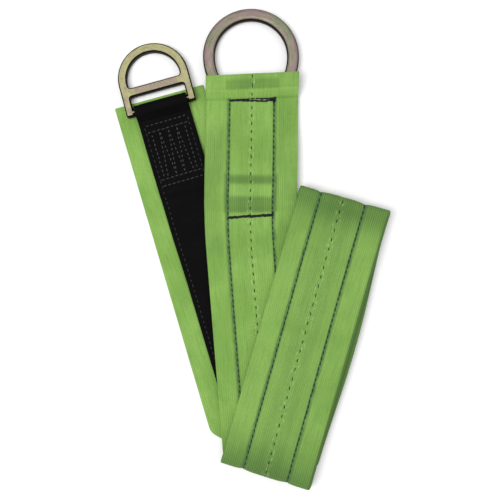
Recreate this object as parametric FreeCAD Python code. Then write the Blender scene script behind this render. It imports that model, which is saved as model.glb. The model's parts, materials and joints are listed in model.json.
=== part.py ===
import FreeCAD, Part
import math
import os
from collections import namedtuple

# Web sling with a wear pad, folded flat in three bends, with a ring sewn into each end.
# Millimetres, +Z up. X runs across the sling and Y along it, and the sling lies on Z = 0.
# From the ground up the runs are: small ring run (black web up), large ring run (pad up),
# hidden run (black web up) and top run (pad up).

os.makedirs("parts", exist_ok=True)

V = FreeCAD.Vector
UP = V(0, 0, 1)

# ---- webbing ---------------------------------------------------------------------------
pad_width = 76.0
pad_thickness = 1.9
web_width = 44.5
web_thickness = 2.1
sewn_gap = 0.1          # between layers that are sewn together
layer_gap = 0.9         # between runs that only lie on each other
half_pad = pad_width / 2
half_web = web_width / 2

# ---- runs, seen from above --------------------------------------------------------------
large_run_end = V(1.9, 143.6, 0)    # middle of the pad's cut end, before the model is centred
large_run_heading = -90.8           # degrees, pointing away from the ring
large_run_length = 315.0
large_run_bend_start = 100.0
large_run_bend_length = 40.0
large_run_bend_turn = 5.5
hidden_run_heading = 74.24
hidden_run_length = 216.5
hidden_run_bow = 3.5                # how far the hidden run strays sideways at mid length
top_run_heading = -106.1
top_run_length = 222.0
outer_fold_axis = -17.6             # heading of the outer fold's line
small_run_heading = -73.5           # degrees, pointing away from the ring
small_run_straight = 275.5
turn_reach = 41.3                   # from the outer fold to the straight part of the small run
turn_reach_heading = 108.2
inner_edge_pull = 1.45              # how hard the turn's left edge is pushed in
outer_edge_pull = 1.0

# ---- large ring end ---------------------------------------------------------------------
large_pad_past_bar = 3.25           # how far the pad's cut end reaches beyond the ring's bar
large_tail = 105.0                  # pad's cut end to the end of the folded-back web
large_end_skew = 3.3                # the cut end and the bar are this far out of square
large_ramp_angle = 50.0
large_rise_wait = 6.0               # level stretch between the ramp and the climb
large_rise_length = 40.0            # the run climbs from the ground onto the run below it
end_droop = 0.5

# ---- small ring end ---------------------------------------------------------------------
small_pad_past_bar = 5.65
small_end_skew = -1.1
small_ramp_angle = 45.0

skew_fade = 5.5                     # an end's skew dies out over this length after the ramp
tail_step = 8.0                     # length of the step down from a tail's end
inside_bend = 0.4                   # tightest inside radius where a layer bends sharply

# ---- large ring -------------------------------------------------------------------------
large_ring_band = 9.8
large_eye_spare = 7.55              # room inside the arch beyond each edge of the web
large_ring_radius = half_web + large_eye_spare + large_ring_band    # outside of the arch
large_ring_thickness = 8.0
large_ring_arch_height = 23.6       # bar's axis to the arch's centre
large_ring_shoulder = 50.0          # radius of the sides below the arch
large_ring_bar = 8.2
large_ring_corner = 7.0
large_eye_corner = 4.5
large_ring_round = 3.2

# ---- small ring -------------------------------------------------------------------------
small_ring_band = 7.3
small_ring_leg = 6.35
small_slot_clearance = 0.8          # between a leg and the web's edge
small_ring_radius = half_web + small_slot_clearance + small_ring_leg
small_ring_thickness = 6.0
small_ring_arch_height = 23.63
small_ring_bar = 6.1                # diameter of the bar that the web goes round
small_ring_crossbar = 7.3
small_ring_slot = 9.85              # bar to crossbar
small_eye_corner = 2.4
small_slot_corner = 2.0
small_foot_corner = 1.6
small_ring_round = 1.3

loop_clearance = 0.25               # between a ring's bar and the web round it

# ---- seams ------------------------------------------------------------------------------
edge_row_inset = 3.95               # from the web's edge to an edge seam
edge_row = half_web - edge_row_inset
thread_width = 1.2
thread_height = 0.3
bar_row_height = 0.5
large_row_after_ramp = 1.0          # first row across the large ring's end
large_row_after_tail = 2.9          # last row, past the step down from the tail
small_row_after_ramp = 3.9          # first row across the small ring's end
small_row_steps = (0.0, 5.7, 46.0, 51.4)    # the four rows, counted from the first
small_tail_past_rows = 4.9
small_side_row_gap = 4.1            # from an edge seam to the second row beside it
small_side_row = edge_row - small_side_row_gap
small_zigzag_legs = 6
small_zigzag_gap = 3.2              # from that row to the zigzag
small_zigzag_half = small_side_row - small_zigzag_gap

fold_steps = 12
bend_steps = 6
ease_steps = 5
run_steps = 8
turn_steps = 10

# ---- heights ----------------------------------------------------------------------------
# A run's level is the height of the plane between its pad and its web.
half_gap = sewn_gap / 2
pad_face = pad_thickness + half_gap     # from that plane to the pad's outer face
web_face = web_thickness + half_gap     # from that plane to the web's outer face
tail_lift = web_thickness + sewn_gap    # how far a tail holds two layers apart
small_run_level = pad_face
large_run_level = small_run_level + 2 * web_face + layer_gap
hidden_run_level = large_run_level + 2 * pad_face + layer_gap
top_run_level = hidden_run_level + 2 * web_face + layer_gap
outer_fold_radius = (top_run_level - small_run_level) / 2
large_web_level = web_face              # at the ring's end the large run lies on the ground

Station = namedtuple("Station", "centre across normal")


def direction(angle):
    """Level unit vector at an angle in degrees."""
    return V(math.cos(math.radians(angle)), math.sin(math.radians(angle)), 0)


def eased(share):
    """Smooth step from 0 to 1 and its slope."""
    share = min(max(share, 0.0), 1.0)
    return (1 - math.cos(math.pi * share)) / 2, math.pi / 2 * math.sin(math.pi * share)


class Leg:
    """A run that ends in a ring: where it goes, how it climbs and how its end is skewed."""

    def __init__(self, end, heading, skew, ramp_end, bend=(0.0, 1.0, 0.0), rise=(0.0, 1.0, 0.0)):
        self.end = end
        self.heading = heading
        self.skew = skew
        self.ramp_end = ramp_end
        self.bend_start, self.bend_length, self.bend_turn = bend
        self.rise_start, self.rise_length, self.rise = rise

    def plan(self, along):
        """Middle of the run and its heading at a distance from its end."""
        before = min(along, self.bend_start) if self.bend_turn else along
        point = self.end + direction(self.heading) * before
        if along <= before:
            return point, self.heading
        share = min((along - before) / self.bend_length, 1.0)
        turn = self.bend_turn * share
        radius = self.bend_length / math.radians(self.bend_turn)
        chord = 2 * radius * math.sin(math.radians(turn) / 2)
        point = point + direction(self.heading + turn / 2) * chord
        after = max(along - before - self.bend_length, 0.0)
        return point + direction(self.heading + turn) * after, self.heading + turn

    def climb(self, along):
        """Height gained at a distance from the end, and the slope there."""
        height, slope = eased((along - self.rise_start) / self.rise_length)
        return self.rise * height, self.rise * slope / self.rise_length

    def station(self, along, height, angle):
        """Station on the run: angle 0 travels away from the ring, 180 towards it."""
        point, heading = self.plan(along)
        gained, slope = self.climb(along)
        ahead = math.cos(math.radians(angle))
        rise = math.sin(math.radians(angle)) + slope * ahead
        size = math.hypot(ahead, rise)
        skew = self.skew * (1 - eased((along - self.ramp_end) / skew_fade)[0])
        across = direction(heading + 90 + skew) * (half_pad / math.cos(math.radians(skew)))
        normal = direction(heading) * (-rise / size) + UP * (ahead / size)
        return Station(point + UP * (height + gained), across, normal)


def fold(centre, heading, axis, normal, towards_normal, radius):
    """Half turn round a level line at the axis angle, which may lie out of square."""
    across = direction(axis)
    ahead = UP.cross(across)
    travel = direction(heading)
    if ahead.dot(travel) < 0:
        ahead = -ahead
    slip = travel.dot(across) / travel.dot(ahead)
    half = across * (half_pad / travel.dot(ahead))
    sink = normal if towards_normal else -normal
    stations = []
    for step in range(fold_steps + 1):
        turned = math.pi * step / fold_steps
        place = centre + across * (slip * radius * turned) + ahead * (radius * math.sin(turned))
        place = place + sink * (radius * (1 - math.cos(turned)))
        inward = sink * math.cos(turned) - ahead * math.sin(turned)
        stations.append(Station(place, half, inward if towards_normal else -inward))
    return stations


def mirrored(heading, axis):
    """Heading of a strap after it has been folded over a line."""
    return 2 * axis - heading


def bowed_run(start, heading, length, bow, normal):
    """Stations between two folds, straying sideways by the bow at mid length."""
    ahead = direction(heading)
    side = direction(heading - 90)
    stations = []
    for step in range(1, run_steps):
        share = step / run_steps
        stray = bow * math.sin(math.pi * share) ** 2
        slope = bow * math.pi * math.sin(2 * math.pi * share) / length
        centre = start + ahead * (length * share) + side * stray
        across = (side - ahead * slope).normalize() * half_pad
        stations.append(Station(centre, across, normal))
    return stations


def hermite(start, start_pull, end, end_pull, share):
    """Point on a curve that leaves and arrives along the two pulls."""
    s2, s3 = share ** 2, share ** 3
    point = start * (2 * s3 - 3 * s2 + 1) + end * (3 * s2 - 2 * s3)
    return point + start_pull * (s3 - 2 * s2 + share) + end_pull * (s3 - s2)


def turned_run(first, first_heading, last, last_heading):
    """Stations between two level stations whose headings differ: each edge is a curve."""
    edges = []
    for side, pull in ((-1, inner_edge_pull), (1, outer_edge_pull)):
        start = first.centre + first.across * side
        end = last.centre + last.across * side
        reach = (end - start).Length * pull
        edges.append((start, direction(first_heading) * reach, end, direction(last_heading) * reach))
    stations = []
    for step in range(1, turn_steps):
        left, right = (hermite(*edge, step / turn_steps) for edge in edges)
        stations.append(Station((left + right) / 2, (right - left) / 2, first.normal))
    return stations


def ramp(radius, hollow, angle):
    """Length of the straight ramp and the reach of the whole ramp beyond the bar."""
    turn = math.radians(angle)
    straight = (2 * radius - (radius + hollow) * (1 - math.cos(turn))) / math.sin(turn)
    return straight, (radius + hollow) * math.sin(turn) + straight * math.cos(turn)


def loop_profile(bar, radius, hollow, angle):
    """Web that comes in on top, climbs over the bar, rounds it and leaves underneath."""
    reach = ramp(radius, hollow, angle)[1]
    points = []
    for step in range(ease_steps + 1):
        turn = math.radians(angle * step / ease_steps)
        points.append((bar + reach - hollow * math.sin(turn), hollow * (1 - math.cos(turn)),
                       180 - math.degrees(turn)))
    around = 2 * fold_steps
    for step in range(around + 1):
        heading = 180 - angle + (180 + angle) * step / around
        turn = math.radians(heading)
        points.append((bar + radius * math.sin(turn), radius - radius * math.cos(turn), heading))
    return points


def cover_profile(bar, radius, hollow, angle, lift):
    """Pad that lies over the loop: flat from its cut end, then down the ramp."""
    reach = ramp(radius, hollow, angle)[1]
    over, under = radius + lift, hollow - lift
    points = [(0.0, radius + over - end_droop, 0.0)]
    for step in range(ease_steps + 1):
        turn = math.radians(angle * step / ease_steps)
        points.append((bar + over * math.sin(turn), radius + over * math.cos(turn),
                       -math.degrees(turn)))
    for step in range(ease_steps, -1, -1):
        turn = math.radians(angle * step / ease_steps)
        points.append((bar + reach - under * math.sin(turn), lift + under * (1 - math.cos(turn)),
                       -math.degrees(turn)))
    return points


def step_profile(start, start_height, end, end_height):
    """Eased change of height along a run, travelling from start to end."""
    points = []
    for step in range(ease_steps + 1):
        share, slope = eased(step / ease_steps)
        rise = (end_height - start_height) * slope / (end - start)
        heading = math.degrees(math.atan(rise)) + (0 if end > start else 180)
        points.append((start + (end - start) * step / ease_steps,
                       start_height + (end_height - start_height) * share, heading))
    return points


def along_leg(leg, level, profile):
    """Stations of a profile, whose heights are above the level."""
    return [leg.station(along, level + height, angle) for along, height, angle in profile]


def polygon(points):
    """Flat face with the given corners."""
    return Part.Face(Part.makePolygon(points + [points[0]]))


def panel(points):
    """One flat face through four corners, or two where they aren't in one plane."""
    a, b, c, d = points
    square = (b - a).cross(c - a)
    if abs(square.normalize().dot(d - a)) < 1e-6:
        return [polygon([a, b, c, d])]
    return [polygon([a, b, c]), polygon([a, c, d])]


def strip(stations, side_low, side_high, low, high):
    """Solid strip of rectangular section that follows the stations."""
    sections = []
    for station in stations:
        corners = ((side_low, low), (side_high, low), (side_high, high), (side_low, high))
        sections.append([station.centre + station.across * (side / half_pad) + station.normal * out
                         for side, out in corners])
    faces = panel(sections[0]) + panel(sections[-1])
    for near, far in zip(sections, sections[1:]):
        for corner in range(4):
            following = (corner + 1) % 4
            faces += panel([near[corner], near[following], far[following], far[corner]])
    shell = Part.makeShell(faces)
    shell.sewShape()
    solid = Part.makeSolid(shell)
    if solid.Volume < 0:
        solid.reverse()
    return solid


def pad_strip(stations):
    """Green wear pad along the stations."""
    return strip(stations, -half_pad, half_pad, half_gap, pad_face)


def web_strip(stations):
    """Black load web along the stations."""
    return strip(stations, -half_web, half_web, -web_face, -half_gap)


def pad_row(stations, side):
    """Seam on the pad's outer face."""
    return strip(stations, side - thread_width / 2, side + thread_width / 2,
                 pad_face, pad_face + thread_height)


def web_row(stations, side):
    """Seam on the web's outer face."""
    return strip(stations, side - thread_width / 2, side + thread_width / 2,
                 -web_face - thread_height, -web_face)


# ---- how each end goes round its ring's bar ---------------------------------------------
# a loop's radius is that of the plane between the layers, so it is half a gap under the web's
large_loop_radius = math.hypot(large_ring_bar / 2 - large_ring_round,
                               large_ring_thickness / 2 - large_ring_round)
large_loop_radius += large_ring_round + loop_clearance - half_gap
small_loop_radius = small_ring_bar / 2 + loop_clearance - half_gap
large_hollow_radius = tail_lift + pad_face + thread_height + inside_bend
small_hollow_radius = web_face + thread_height + inside_bend
large_bar_from_end = large_pad_past_bar + large_ring_bar / 2
small_bar_from_end = small_pad_past_bar + small_ring_bar / 2
large_ramp_end = large_bar_from_end
large_ramp_end += ramp(large_loop_radius, large_hollow_radius, large_ramp_angle)[1]
small_ramp_end = small_bar_from_end
small_ramp_end += ramp(small_loop_radius, small_hollow_radius, small_ramp_angle)[1]
large_rise_start = large_ramp_end + large_rise_wait
large_box_rows = large_ramp_end + large_row_after_ramp, large_tail + tail_step + large_row_after_tail
small_box_rows = [small_ramp_end + small_row_after_ramp + step for step in small_row_steps]
small_tail = small_box_rows[-1] + small_tail_past_rows

# ---- the sling's line -------------------------------------------------------------------
large_leg = Leg(large_run_end, large_run_heading, large_end_skew, large_ramp_end,
                bend=(large_run_bend_start, large_run_bend_length, large_run_bend_turn),
                rise=(large_rise_start, large_rise_length, large_run_level - large_web_level))

foot, foot_heading = large_leg.plan(large_run_length)
inner_axis = (foot_heading + hidden_run_heading) / 2
inner_fold = fold(foot + UP * large_run_level, foot_heading, inner_axis, UP, True,
                  (hidden_run_level - large_run_level) / 2)
hidden_start = inner_fold[-1].centre
hidden_end = hidden_start + direction(hidden_run_heading) * hidden_run_length
hidden_run = bowed_run(hidden_start, hidden_run_heading, hidden_run_length, hidden_run_bow, -UP)
top_axis = (hidden_run_heading + top_run_heading) / 2
top_fold = fold(hidden_end, hidden_run_heading, top_axis, -UP, False,
                (top_run_level - hidden_run_level) / 2)
top_end = top_fold[-1].centre + direction(top_run_heading) * top_run_length
outer_fold = fold(top_end, top_run_heading, outer_fold_axis, UP, False, outer_fold_radius)
under_heading = mirrored(top_run_heading, outer_fold_axis)

small_straight_end = outer_fold[-1].centre + direction(turn_reach_heading) * turn_reach
small_run_end = small_straight_end - direction(small_run_heading) * small_run_straight
small_run_end.z = 0
small_leg = Leg(small_run_end, small_run_heading, small_end_skew, small_ramp_end)
small_joint = small_leg.station(small_run_straight, small_run_level, 180)
turn = turned_run(outer_fold[-1], under_heading, small_joint, small_run_heading + 180)

# ---- pad and web stations ---------------------------------------------------------------
climb = [large_rise_start + large_rise_length * step / run_steps for step in range(run_steps + 1)]
bend = [large_run_bend_start + large_run_bend_length * step / bend_steps
        for step in range(bend_steps + 1)]
tail_ease = step_profile(large_tail, tail_lift, large_tail + tail_step, 0.0)

doubled = [along for along in climb + bend if along < large_tail]
large_loop = loop_profile(large_bar_from_end, large_loop_radius, large_hollow_radius,
                          large_ramp_angle)
tail_in = [(along, 0.0, 180.0) for along in [large_tail] + doubled[::-1]]
sling_out = [(along, 0.0, 0.0) for along in climb + bend]
large_web = along_leg(large_leg, large_web_level, tail_in + large_loop + sling_out)

large_cover = cover_profile(large_bar_from_end, large_loop_radius, large_hollow_radius,
                            large_ramp_angle, tail_lift)
over_tail = [(along, tail_lift, 0.0) for along in doubled]
past_tail = [(along, 0.0, 0.0) for along in climb + bend if along > large_tail + tail_step]
large_pad = along_leg(large_leg, large_web_level,
                      large_cover + over_tail + tail_ease + past_tail)

folded_line = inner_fold + hidden_run + top_fold + [outer_fold[0]]
small_line = [outer_fold[-1]] + turn + [small_joint]

small_loop = loop_profile(small_bar_from_end, small_loop_radius, small_hollow_radius,
                          small_ramp_angle)
small_step = step_profile(small_tail + tail_step, 0.0, small_tail, tail_lift)
small_over = along_leg(small_leg, small_run_level, small_step)
small_wrap = along_leg(small_leg, small_run_level + tail_lift,
                       small_loop + [(small_tail, 0.0, 0.0)])
small_pad_end = small_leg.station(0.0, small_run_level, 180)


# ---- rings ------------------------------------------------------------------------------
def arc(centre, radius, start, end):
    """Edge along a circle, by way of its middle angle."""
    points = [centre + direction(angle) * radius for angle in (start, (start + end) / 2, end)]
    return Part.Arc(*points).toShape()


def upright_edges(shape, points):
    """Edges that stand on the given points."""
    found = []
    for edge in shape.Edges:
        ends = [vertex.Point for vertex in edge.Vertexes]
        if len(ends) == 2 and (ends[0] - ends[1]).cross(UP).Length < 1e-6:
            if any(math.hypot(ends[0].x - p.x, ends[0].y - p.y) < 1e-4 for p in points):
                found.append(edge)
    return found


def rounded(shape, radius):
    """Shape with the edges of its two flat faces rounded."""
    half = max(edge.BoundBox.ZMax for edge in shape.Edges)
    edges = [edge for edge in shape.Edges
             if edge.BoundBox.ZLength < 1e-6 and abs(abs(edge.BoundBox.ZMax) - half) < 1e-6]
    return shape.makeFillet(radius, edges)


def slab(edges, thickness):
    """Flat plate with the given outline, centred on Z = 0."""
    face = Part.Face(Part.Wire(Part.__sortEdges__(edges)))
    solid = face.extrude(UP * thickness)
    solid.translate(UP * (-thickness / 2))
    return solid


def shouldered_plate(radius, shoulder, arch, base, corner, thickness):
    """Plate with a round arch, sides that draw in below it and a straight base."""
    centre = V(0, arch, 0)
    inset = shoulder - radius
    drop = math.degrees(math.asin((arch - base) / shoulder))
    right = arc(centre - V(inset, 0, 0), shoulder, -drop, 0)
    left = arc(centre + V(inset, 0, 0), shoulder, 180, 180 + drop)
    corners = [right.Vertexes[0].Point, left.Vertexes[-1].Point]
    outline = [arc(centre, radius, 0, 180), right, left, Part.makeLine(*corners)]
    plate = slab(outline, thickness)
    return plate.makeFillet(corner, upright_edges(plate, corners))


def make_large_ring():
    """Ring with its bar's axis along X through the origin and its arch towards +Y."""
    half_bar = large_ring_bar / 2
    plate = shouldered_plate(large_ring_radius, large_ring_shoulder, large_ring_arch_height,
                             -half_bar, large_ring_corner, large_ring_thickness)
    eye = shouldered_plate(large_ring_radius - large_ring_band,
                           large_ring_shoulder - large_ring_band, large_ring_arch_height,
                           half_bar, large_eye_corner, large_ring_thickness)
    return rounded(plate.cut(eye), large_ring_round)


def make_small_ring():
    """Ring with its bar's axis along X through the origin and its arch towards +Y."""
    half_bar = small_ring_bar / 2
    centre = V(0, small_ring_arch_height, 0)
    radius = small_ring_radius
    feet = [V(-radius, -half_bar, 0), V(radius, -half_bar, 0)]
    outline = [arc(centre, radius, 0, 180), Part.makeLine(*feet),
               Part.makeLine(feet[0], centre - V(radius, 0, 0)),
               Part.makeLine(feet[1], centre + V(radius, 0, 0))]
    plate = slab(outline, small_ring_thickness)
    plate = plate.makeFillet(small_foot_corner, upright_edges(plate, feet))

    slot_top = half_bar + small_ring_slot
    eye_base = slot_top + small_ring_crossbar
    inner = radius - small_ring_band
    sills = [V(-inner, eye_base, 0), V(inner, eye_base, 0)]
    eye = slab([arc(centre, inner, 0, 180), Part.makeLine(*sills),
                Part.makeLine(sills[0], centre - V(inner, 0, 0)),
                Part.makeLine(sills[1], centre + V(inner, 0, 0))], small_ring_thickness)
    eye = eye.makeFillet(small_eye_corner, upright_edges(eye, sills))

    slot_half = radius - small_ring_leg
    slot = Part.makeBox(2 * slot_half, 2 * radius, small_ring_thickness,
                        V(-slot_half, slot_top - 2 * radius, -small_ring_thickness / 2))
    tops = [V(-slot_half, slot_top, 0), V(slot_half, slot_top, 0)]
    slot = slot.makeFillet(small_slot_corner, upright_edges(slot, tops))
    body = rounded(plate.cut(eye).cut(slot), small_ring_round)
    reach = slot_half + small_ring_leg / 2
    bar = Part.makeCylinder(half_bar, 2 * reach, V(-reach, 0, 0), V(1, 0, 0))
    return body.fuse(bar).removeSplitter()


def seat_ring(ring, leg, bar_along, bar_height, lie, thickness, edge_round, tip):
    """Turn a ring so that its bar lies in the web's loop and its arch rests on the ground."""
    reach = tip - edge_round
    depth = thickness / 2 - edge_round
    tilt = math.asin((bar_height - edge_round) / math.hypot(reach, depth)) - math.atan(depth / reach)
    ring.rotate(V(0, 0, 0), V(1, 0, 0), -math.degrees(tilt))
    ring.rotate(V(0, 0, 0), UP, lie)
    point = leg.plan(bar_along)[0] + UP * bar_height
    ring.translate(point)
    return ring


large_bar_height = large_web_level + large_loop_radius
small_bar_height = small_run_level + tail_lift + small_loop_radius
large_ring_lie = large_run_heading + 90 + large_end_skew
small_ring_lie = small_run_heading + 90 + small_end_skew


# ---- seams across the ends --------------------------------------------------------------
def flat_patch(leg, level, corners, height):
    """Low plate on a run: its corners are distances along and across the run."""
    points = [leg.station(along, level, 0).centre + leg.station(along, level, 0).across
              * (side / half_pad) for along, side in corners]
    return polygon(points).extrude(UP * height)


def cross_row(leg, level, along, half_length, height):
    """Row of stitches straight across a run."""
    half = thread_width / 2
    return flat_patch(leg, level, [(along - half, -half_length), (along + half, -half_length),
                                   (along + half, half_length), (along - half, half_length)],
                      height)


def zigzag(leg, level, start, end, half_width, legs, height):
    """Slanting rows that go to and fro between two rows across the run."""
    half = thread_width / 2
    pitch = 2 * half_width / legs
    solids = []
    for number in range(legs):
        left = -half_width + pitch * number
        right = left + pitch
        first, last = (start, end) if number % 2 else (end, start)
        solids.append(flat_patch(leg, level, [(first, left - half), (first, left + half),
                                              (last, right + half), (last, right - half)], height))
    return fused(solids)


def side_strip(leg, level, start, end, side, height, width=thread_width):
    """Row of stitches along a run, or one that is wider than it is long."""
    half = width / 2
    return flat_patch(leg, level, [(start, side - half), (end, side - half),
                                   (end, side + half), (start, side + half)], height)


def fused(solids):
    """One shape made of solids that touch or cross."""
    whole = solids[0]
    for solid in solids[1:]:
        whole = whole.fuse(solid)
    return whole.removeSplitter()


small_box_level = small_run_level + tail_lift + web_face
row_tops = small_box_rows[1] + thread_width / 2, small_box_rows[2] - thread_width / 2
bar_seams = {
    "bar_seam_upper": (large_box_rows[0], large_web_level + tail_lift + pad_face),
    "bar_seam_lower": (large_box_rows[1], large_web_level + pad_face),
}

nodes = {}
large_pad_run = large_pad + folded_line
large_web_run = large_web + folded_line
small_pad_run = small_line + [small_pad_end]
small_web_run = small_line + small_over
nodes["wear_pad_folded_run"] = pad_strip(large_pad_run)
nodes["wear_pad_outer_fold"] = pad_strip(outer_fold)
nodes["wear_pad_small_ring_run"] = pad_strip(small_pad_run)
nodes["load_web_folded_run"] = web_strip(large_web_run)
nodes["load_web_outer_fold"] = web_strip(outer_fold)
nodes["load_web_small_ring_run"] = web_strip(small_web_run + small_wrap)

# the seams on the web's face start past the stretch of the large run that lies on the ground
lifted = [(along, 0.0, 0.0) for along in climb[run_steps // 2:] + bend]
lifted_web = along_leg(large_leg, large_web_level, lifted) + folded_line
seamed_end = small_leg.station(small_box_rows[0], small_run_level + tail_lift, 180)
small_seam_line = small_web_run + [seamed_end]
clear_fold = outer_fold[:-2]        # the part of the fold whose seams stay off the ground
past_cover = large_pad_run[len(large_cover) - 1:]       # from the foot of the ramp, at the bar seam
for name, side in (("left", -edge_row), ("right", edge_row)):
    nodes[f"edge_seam_{name}_folded_run"] = Part.makeCompound(
        [pad_row(past_cover, side), web_row(lifted_web, side)])
    nodes[f"edge_seam_{name}_outer_fold"] = Part.makeCompound(
        [pad_row(clear_fold, side), web_row(outer_fold, side)])
    nodes[f"edge_seam_{name}_small_ring_run"] = web_row(small_seam_line, side)
nodes["centre_seam_folded_run"] = pad_row(large_pad_run, 0.0)
nodes["centre_seam_outer_fold"] = pad_row(clear_fold, 0.0)

box_half = edge_row - thread_width / 2
row_clear = thread_width / 2
for name, (along, level) in bar_seams.items():
    nodes[name] = Part.makeCompound(
        [side_strip(large_leg, level, along - row_clear, along + row_clear, middle, bar_row_height,
                    width=box_half - row_clear)
         for middle in (-(box_half + row_clear) / 2, (box_half + row_clear) / 2)])
nodes["small_end_cross_seams"] = Part.makeCompound(
    [cross_row(small_leg, small_box_level, along, box_half, thread_height)
     for along in small_box_rows])
nodes["small_end_zigzag_seam"] = zigzag(small_leg, small_box_level, *row_tops,
                                        small_zigzag_half, small_zigzag_legs, thread_height)
nodes["small_end_side_seams"] = Part.makeCompound(
    [side_strip(small_leg, small_box_level, *row_tops, side, thread_height)
     for side in (-small_side_row, small_side_row)])
nodes["large_ring"] = seat_ring(
    make_large_ring(), large_leg, large_bar_from_end, large_bar_height, large_ring_lie,
    large_ring_thickness, large_ring_round, large_ring_arch_height + large_ring_radius)
nodes["small_d_ring"] = seat_ring(
    make_small_ring(), small_leg, small_bar_from_end, small_bar_height, small_ring_lie,
    small_ring_thickness, small_ring_round, small_ring_arch_height + small_ring_radius)

# ---- centre the sling on the origin and write it ----------------------------------------
box = FreeCAD.BoundBox()
for shape in nodes.values():
    box.add(shape.optimalBoundingBox(False, False))
shift = V(-(box.XMin + box.XMax) / 2, -(box.YMin + box.YMax) / 2, 0)
for name, shape in nodes.items():
    shape.translate(shift)
    shape.exportStep(f"parts/{name}.step")
    print(name, "valid" if shape.isValid() else "NOT VALID", round(shape.Volume, 1))

# ---- axes and boxes for whoever uses the model ------------------------------------------
middle = outer_fold[0].centre - UP * outer_fold_radius
outward = UP.cross(direction(outer_fold_axis)) * -1
hinge = middle + outward * (math.pi * outer_fold_radius / math.sqrt(8)) + shift
print("overall", [round(v, 2) for v in (box.XLength, box.YLength, box.ZMin, box.ZMax)])
print("outer fold's hinge", [round(v, 3) for v in hinge],
      [round(v, 5) for v in direction(outer_fold_axis)])
for name, leg, along, height, lie in (
        ("large ring", large_leg, large_bar_from_end, large_bar_height, large_ring_lie),
        ("small ring", small_leg, small_bar_from_end, small_bar_height, small_ring_lie)):
    point = leg.plan(along)[0] + UP * height + shift
    print(name, "hinge", [round(v, 3) for v in point], [round(v, 5) for v in direction(lie)])
print("pad ends", [[round(v, 2) for v in leg.end + shift] for leg in (large_leg, small_leg)])
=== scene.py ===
import json
import logging
import math
import random
from dataclasses import dataclass, field, replace
from enum import Enum
from typing import Callable, NamedTuple, Sequence

import bpy
import numpy as np
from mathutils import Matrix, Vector


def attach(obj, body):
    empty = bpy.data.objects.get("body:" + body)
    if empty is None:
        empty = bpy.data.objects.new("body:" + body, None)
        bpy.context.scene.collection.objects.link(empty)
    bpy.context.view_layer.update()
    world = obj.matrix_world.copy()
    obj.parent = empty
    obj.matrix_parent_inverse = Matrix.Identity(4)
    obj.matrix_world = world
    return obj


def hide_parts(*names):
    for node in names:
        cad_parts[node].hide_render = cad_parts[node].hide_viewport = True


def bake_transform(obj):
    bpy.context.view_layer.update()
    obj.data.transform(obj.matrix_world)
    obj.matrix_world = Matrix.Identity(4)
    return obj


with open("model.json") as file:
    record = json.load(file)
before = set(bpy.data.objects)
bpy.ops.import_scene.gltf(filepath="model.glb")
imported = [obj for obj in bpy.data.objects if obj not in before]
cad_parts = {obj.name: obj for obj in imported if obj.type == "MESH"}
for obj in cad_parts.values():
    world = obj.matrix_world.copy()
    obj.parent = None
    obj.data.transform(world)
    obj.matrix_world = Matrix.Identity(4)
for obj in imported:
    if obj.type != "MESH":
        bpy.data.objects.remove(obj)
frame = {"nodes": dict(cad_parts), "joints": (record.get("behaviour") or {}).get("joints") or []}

MM = 0.001
UP = np.array((0.0, 0.0, 1.0))
WEAVE_MAP = "weave"         # across and along the strap, in metres
SHADE = "shade"             # above 0 darker and more ribbed: painted shade where the webbing is bent, on the top run and edge strips, plus darker bands; below 0 painted light
LEAST_GAP = 0.22            # between two columns of a strap's mesh
EDGE_ROW = 18.3             # from the sewn middle to the row of either edge seam
EDGE_PITCH = 4.5            # from stitch to stitch in those rows
log = logging.getLogger("sling")


class Face(Enum):
    """Face of the strap that a row of stitches lies on."""

    PAD = "pad"
    WEB = "web"


class Body(Enum):
    """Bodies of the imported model."""

    SMALL_RUN = "small_ring_run"
    FOLDED = "folded_run"


class Slot(Enum):
    """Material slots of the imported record."""

    PAD = "wear_pad"
    WEB = "load_web"
    THREAD = "seam_thread"


# ---- shader building ---------------------------------------------------------------------
class Value:
    """A socket that carries a number; arithmetic on it adds Math nodes."""

    def __init__(self, shader: "Shader", socket: bpy.types.NodeSocket) -> None:
        """Keep the socket and the shader that it belongs to."""
        self.shader = shader
        self.socket = socket

    def __add__(self, other: "Value | float") -> "Value":
        """Sum."""
        return self.shader.math("ADD", self, other)

    def __radd__(self, other: float) -> "Value":
        """Sum with a number on the left."""
        return self.shader.math("ADD", other, self)

    def __sub__(self, other: "Value | float") -> "Value":
        """Difference."""
        return self.shader.math("SUBTRACT", self, other)

    def __rsub__(self, other: float) -> "Value":
        """Difference from a number."""
        return self.shader.math("SUBTRACT", other, self)

    def __mul__(self, other: "Value | float") -> "Value":
        """Product."""
        return self.shader.math("MULTIPLY", self, other)

    def __rmul__(self, other: float) -> "Value":
        """Product with a number on the left."""
        return self.shader.math("MULTIPLY", other, self)

    def __abs__(self) -> "Value":
        """Size without its sign."""
        return self.shader.math("ABSOLUTE", self)

    def root(self) -> "Value":
        """Square root."""
        return self.shader.math("SQRT", self)

    def wave(self, length: float) -> "Value":
        """Sine wave of the given wave length, from 0 to 1."""
        return self.shader.math("SINE", self * (2 * math.pi / length)) * 0.5 + 0.5

    def rising(self, low: float, high: float) -> "Value":
        """Smooth step over this value.

        Args:
            low: where the step is 0.
            high: where it is 1; it may be the smaller of the two.

        Returns:
            The step.
        """
        node = self.shader.node("ShaderNodeMapRange", {"interpolation_type": "SMOOTHSTEP"},
                                {"Value": self, "From Min": low, "From Max": high})
        return Value(self.shader, node.outputs[0])

    def near(self, middle: float, half: float, soft: float) -> "Value":
        """1 within half of the middle, falling to 0 over the soft width beyond it."""
        return 1.0 - abs(self - middle).rising(half, half + soft)


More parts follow.
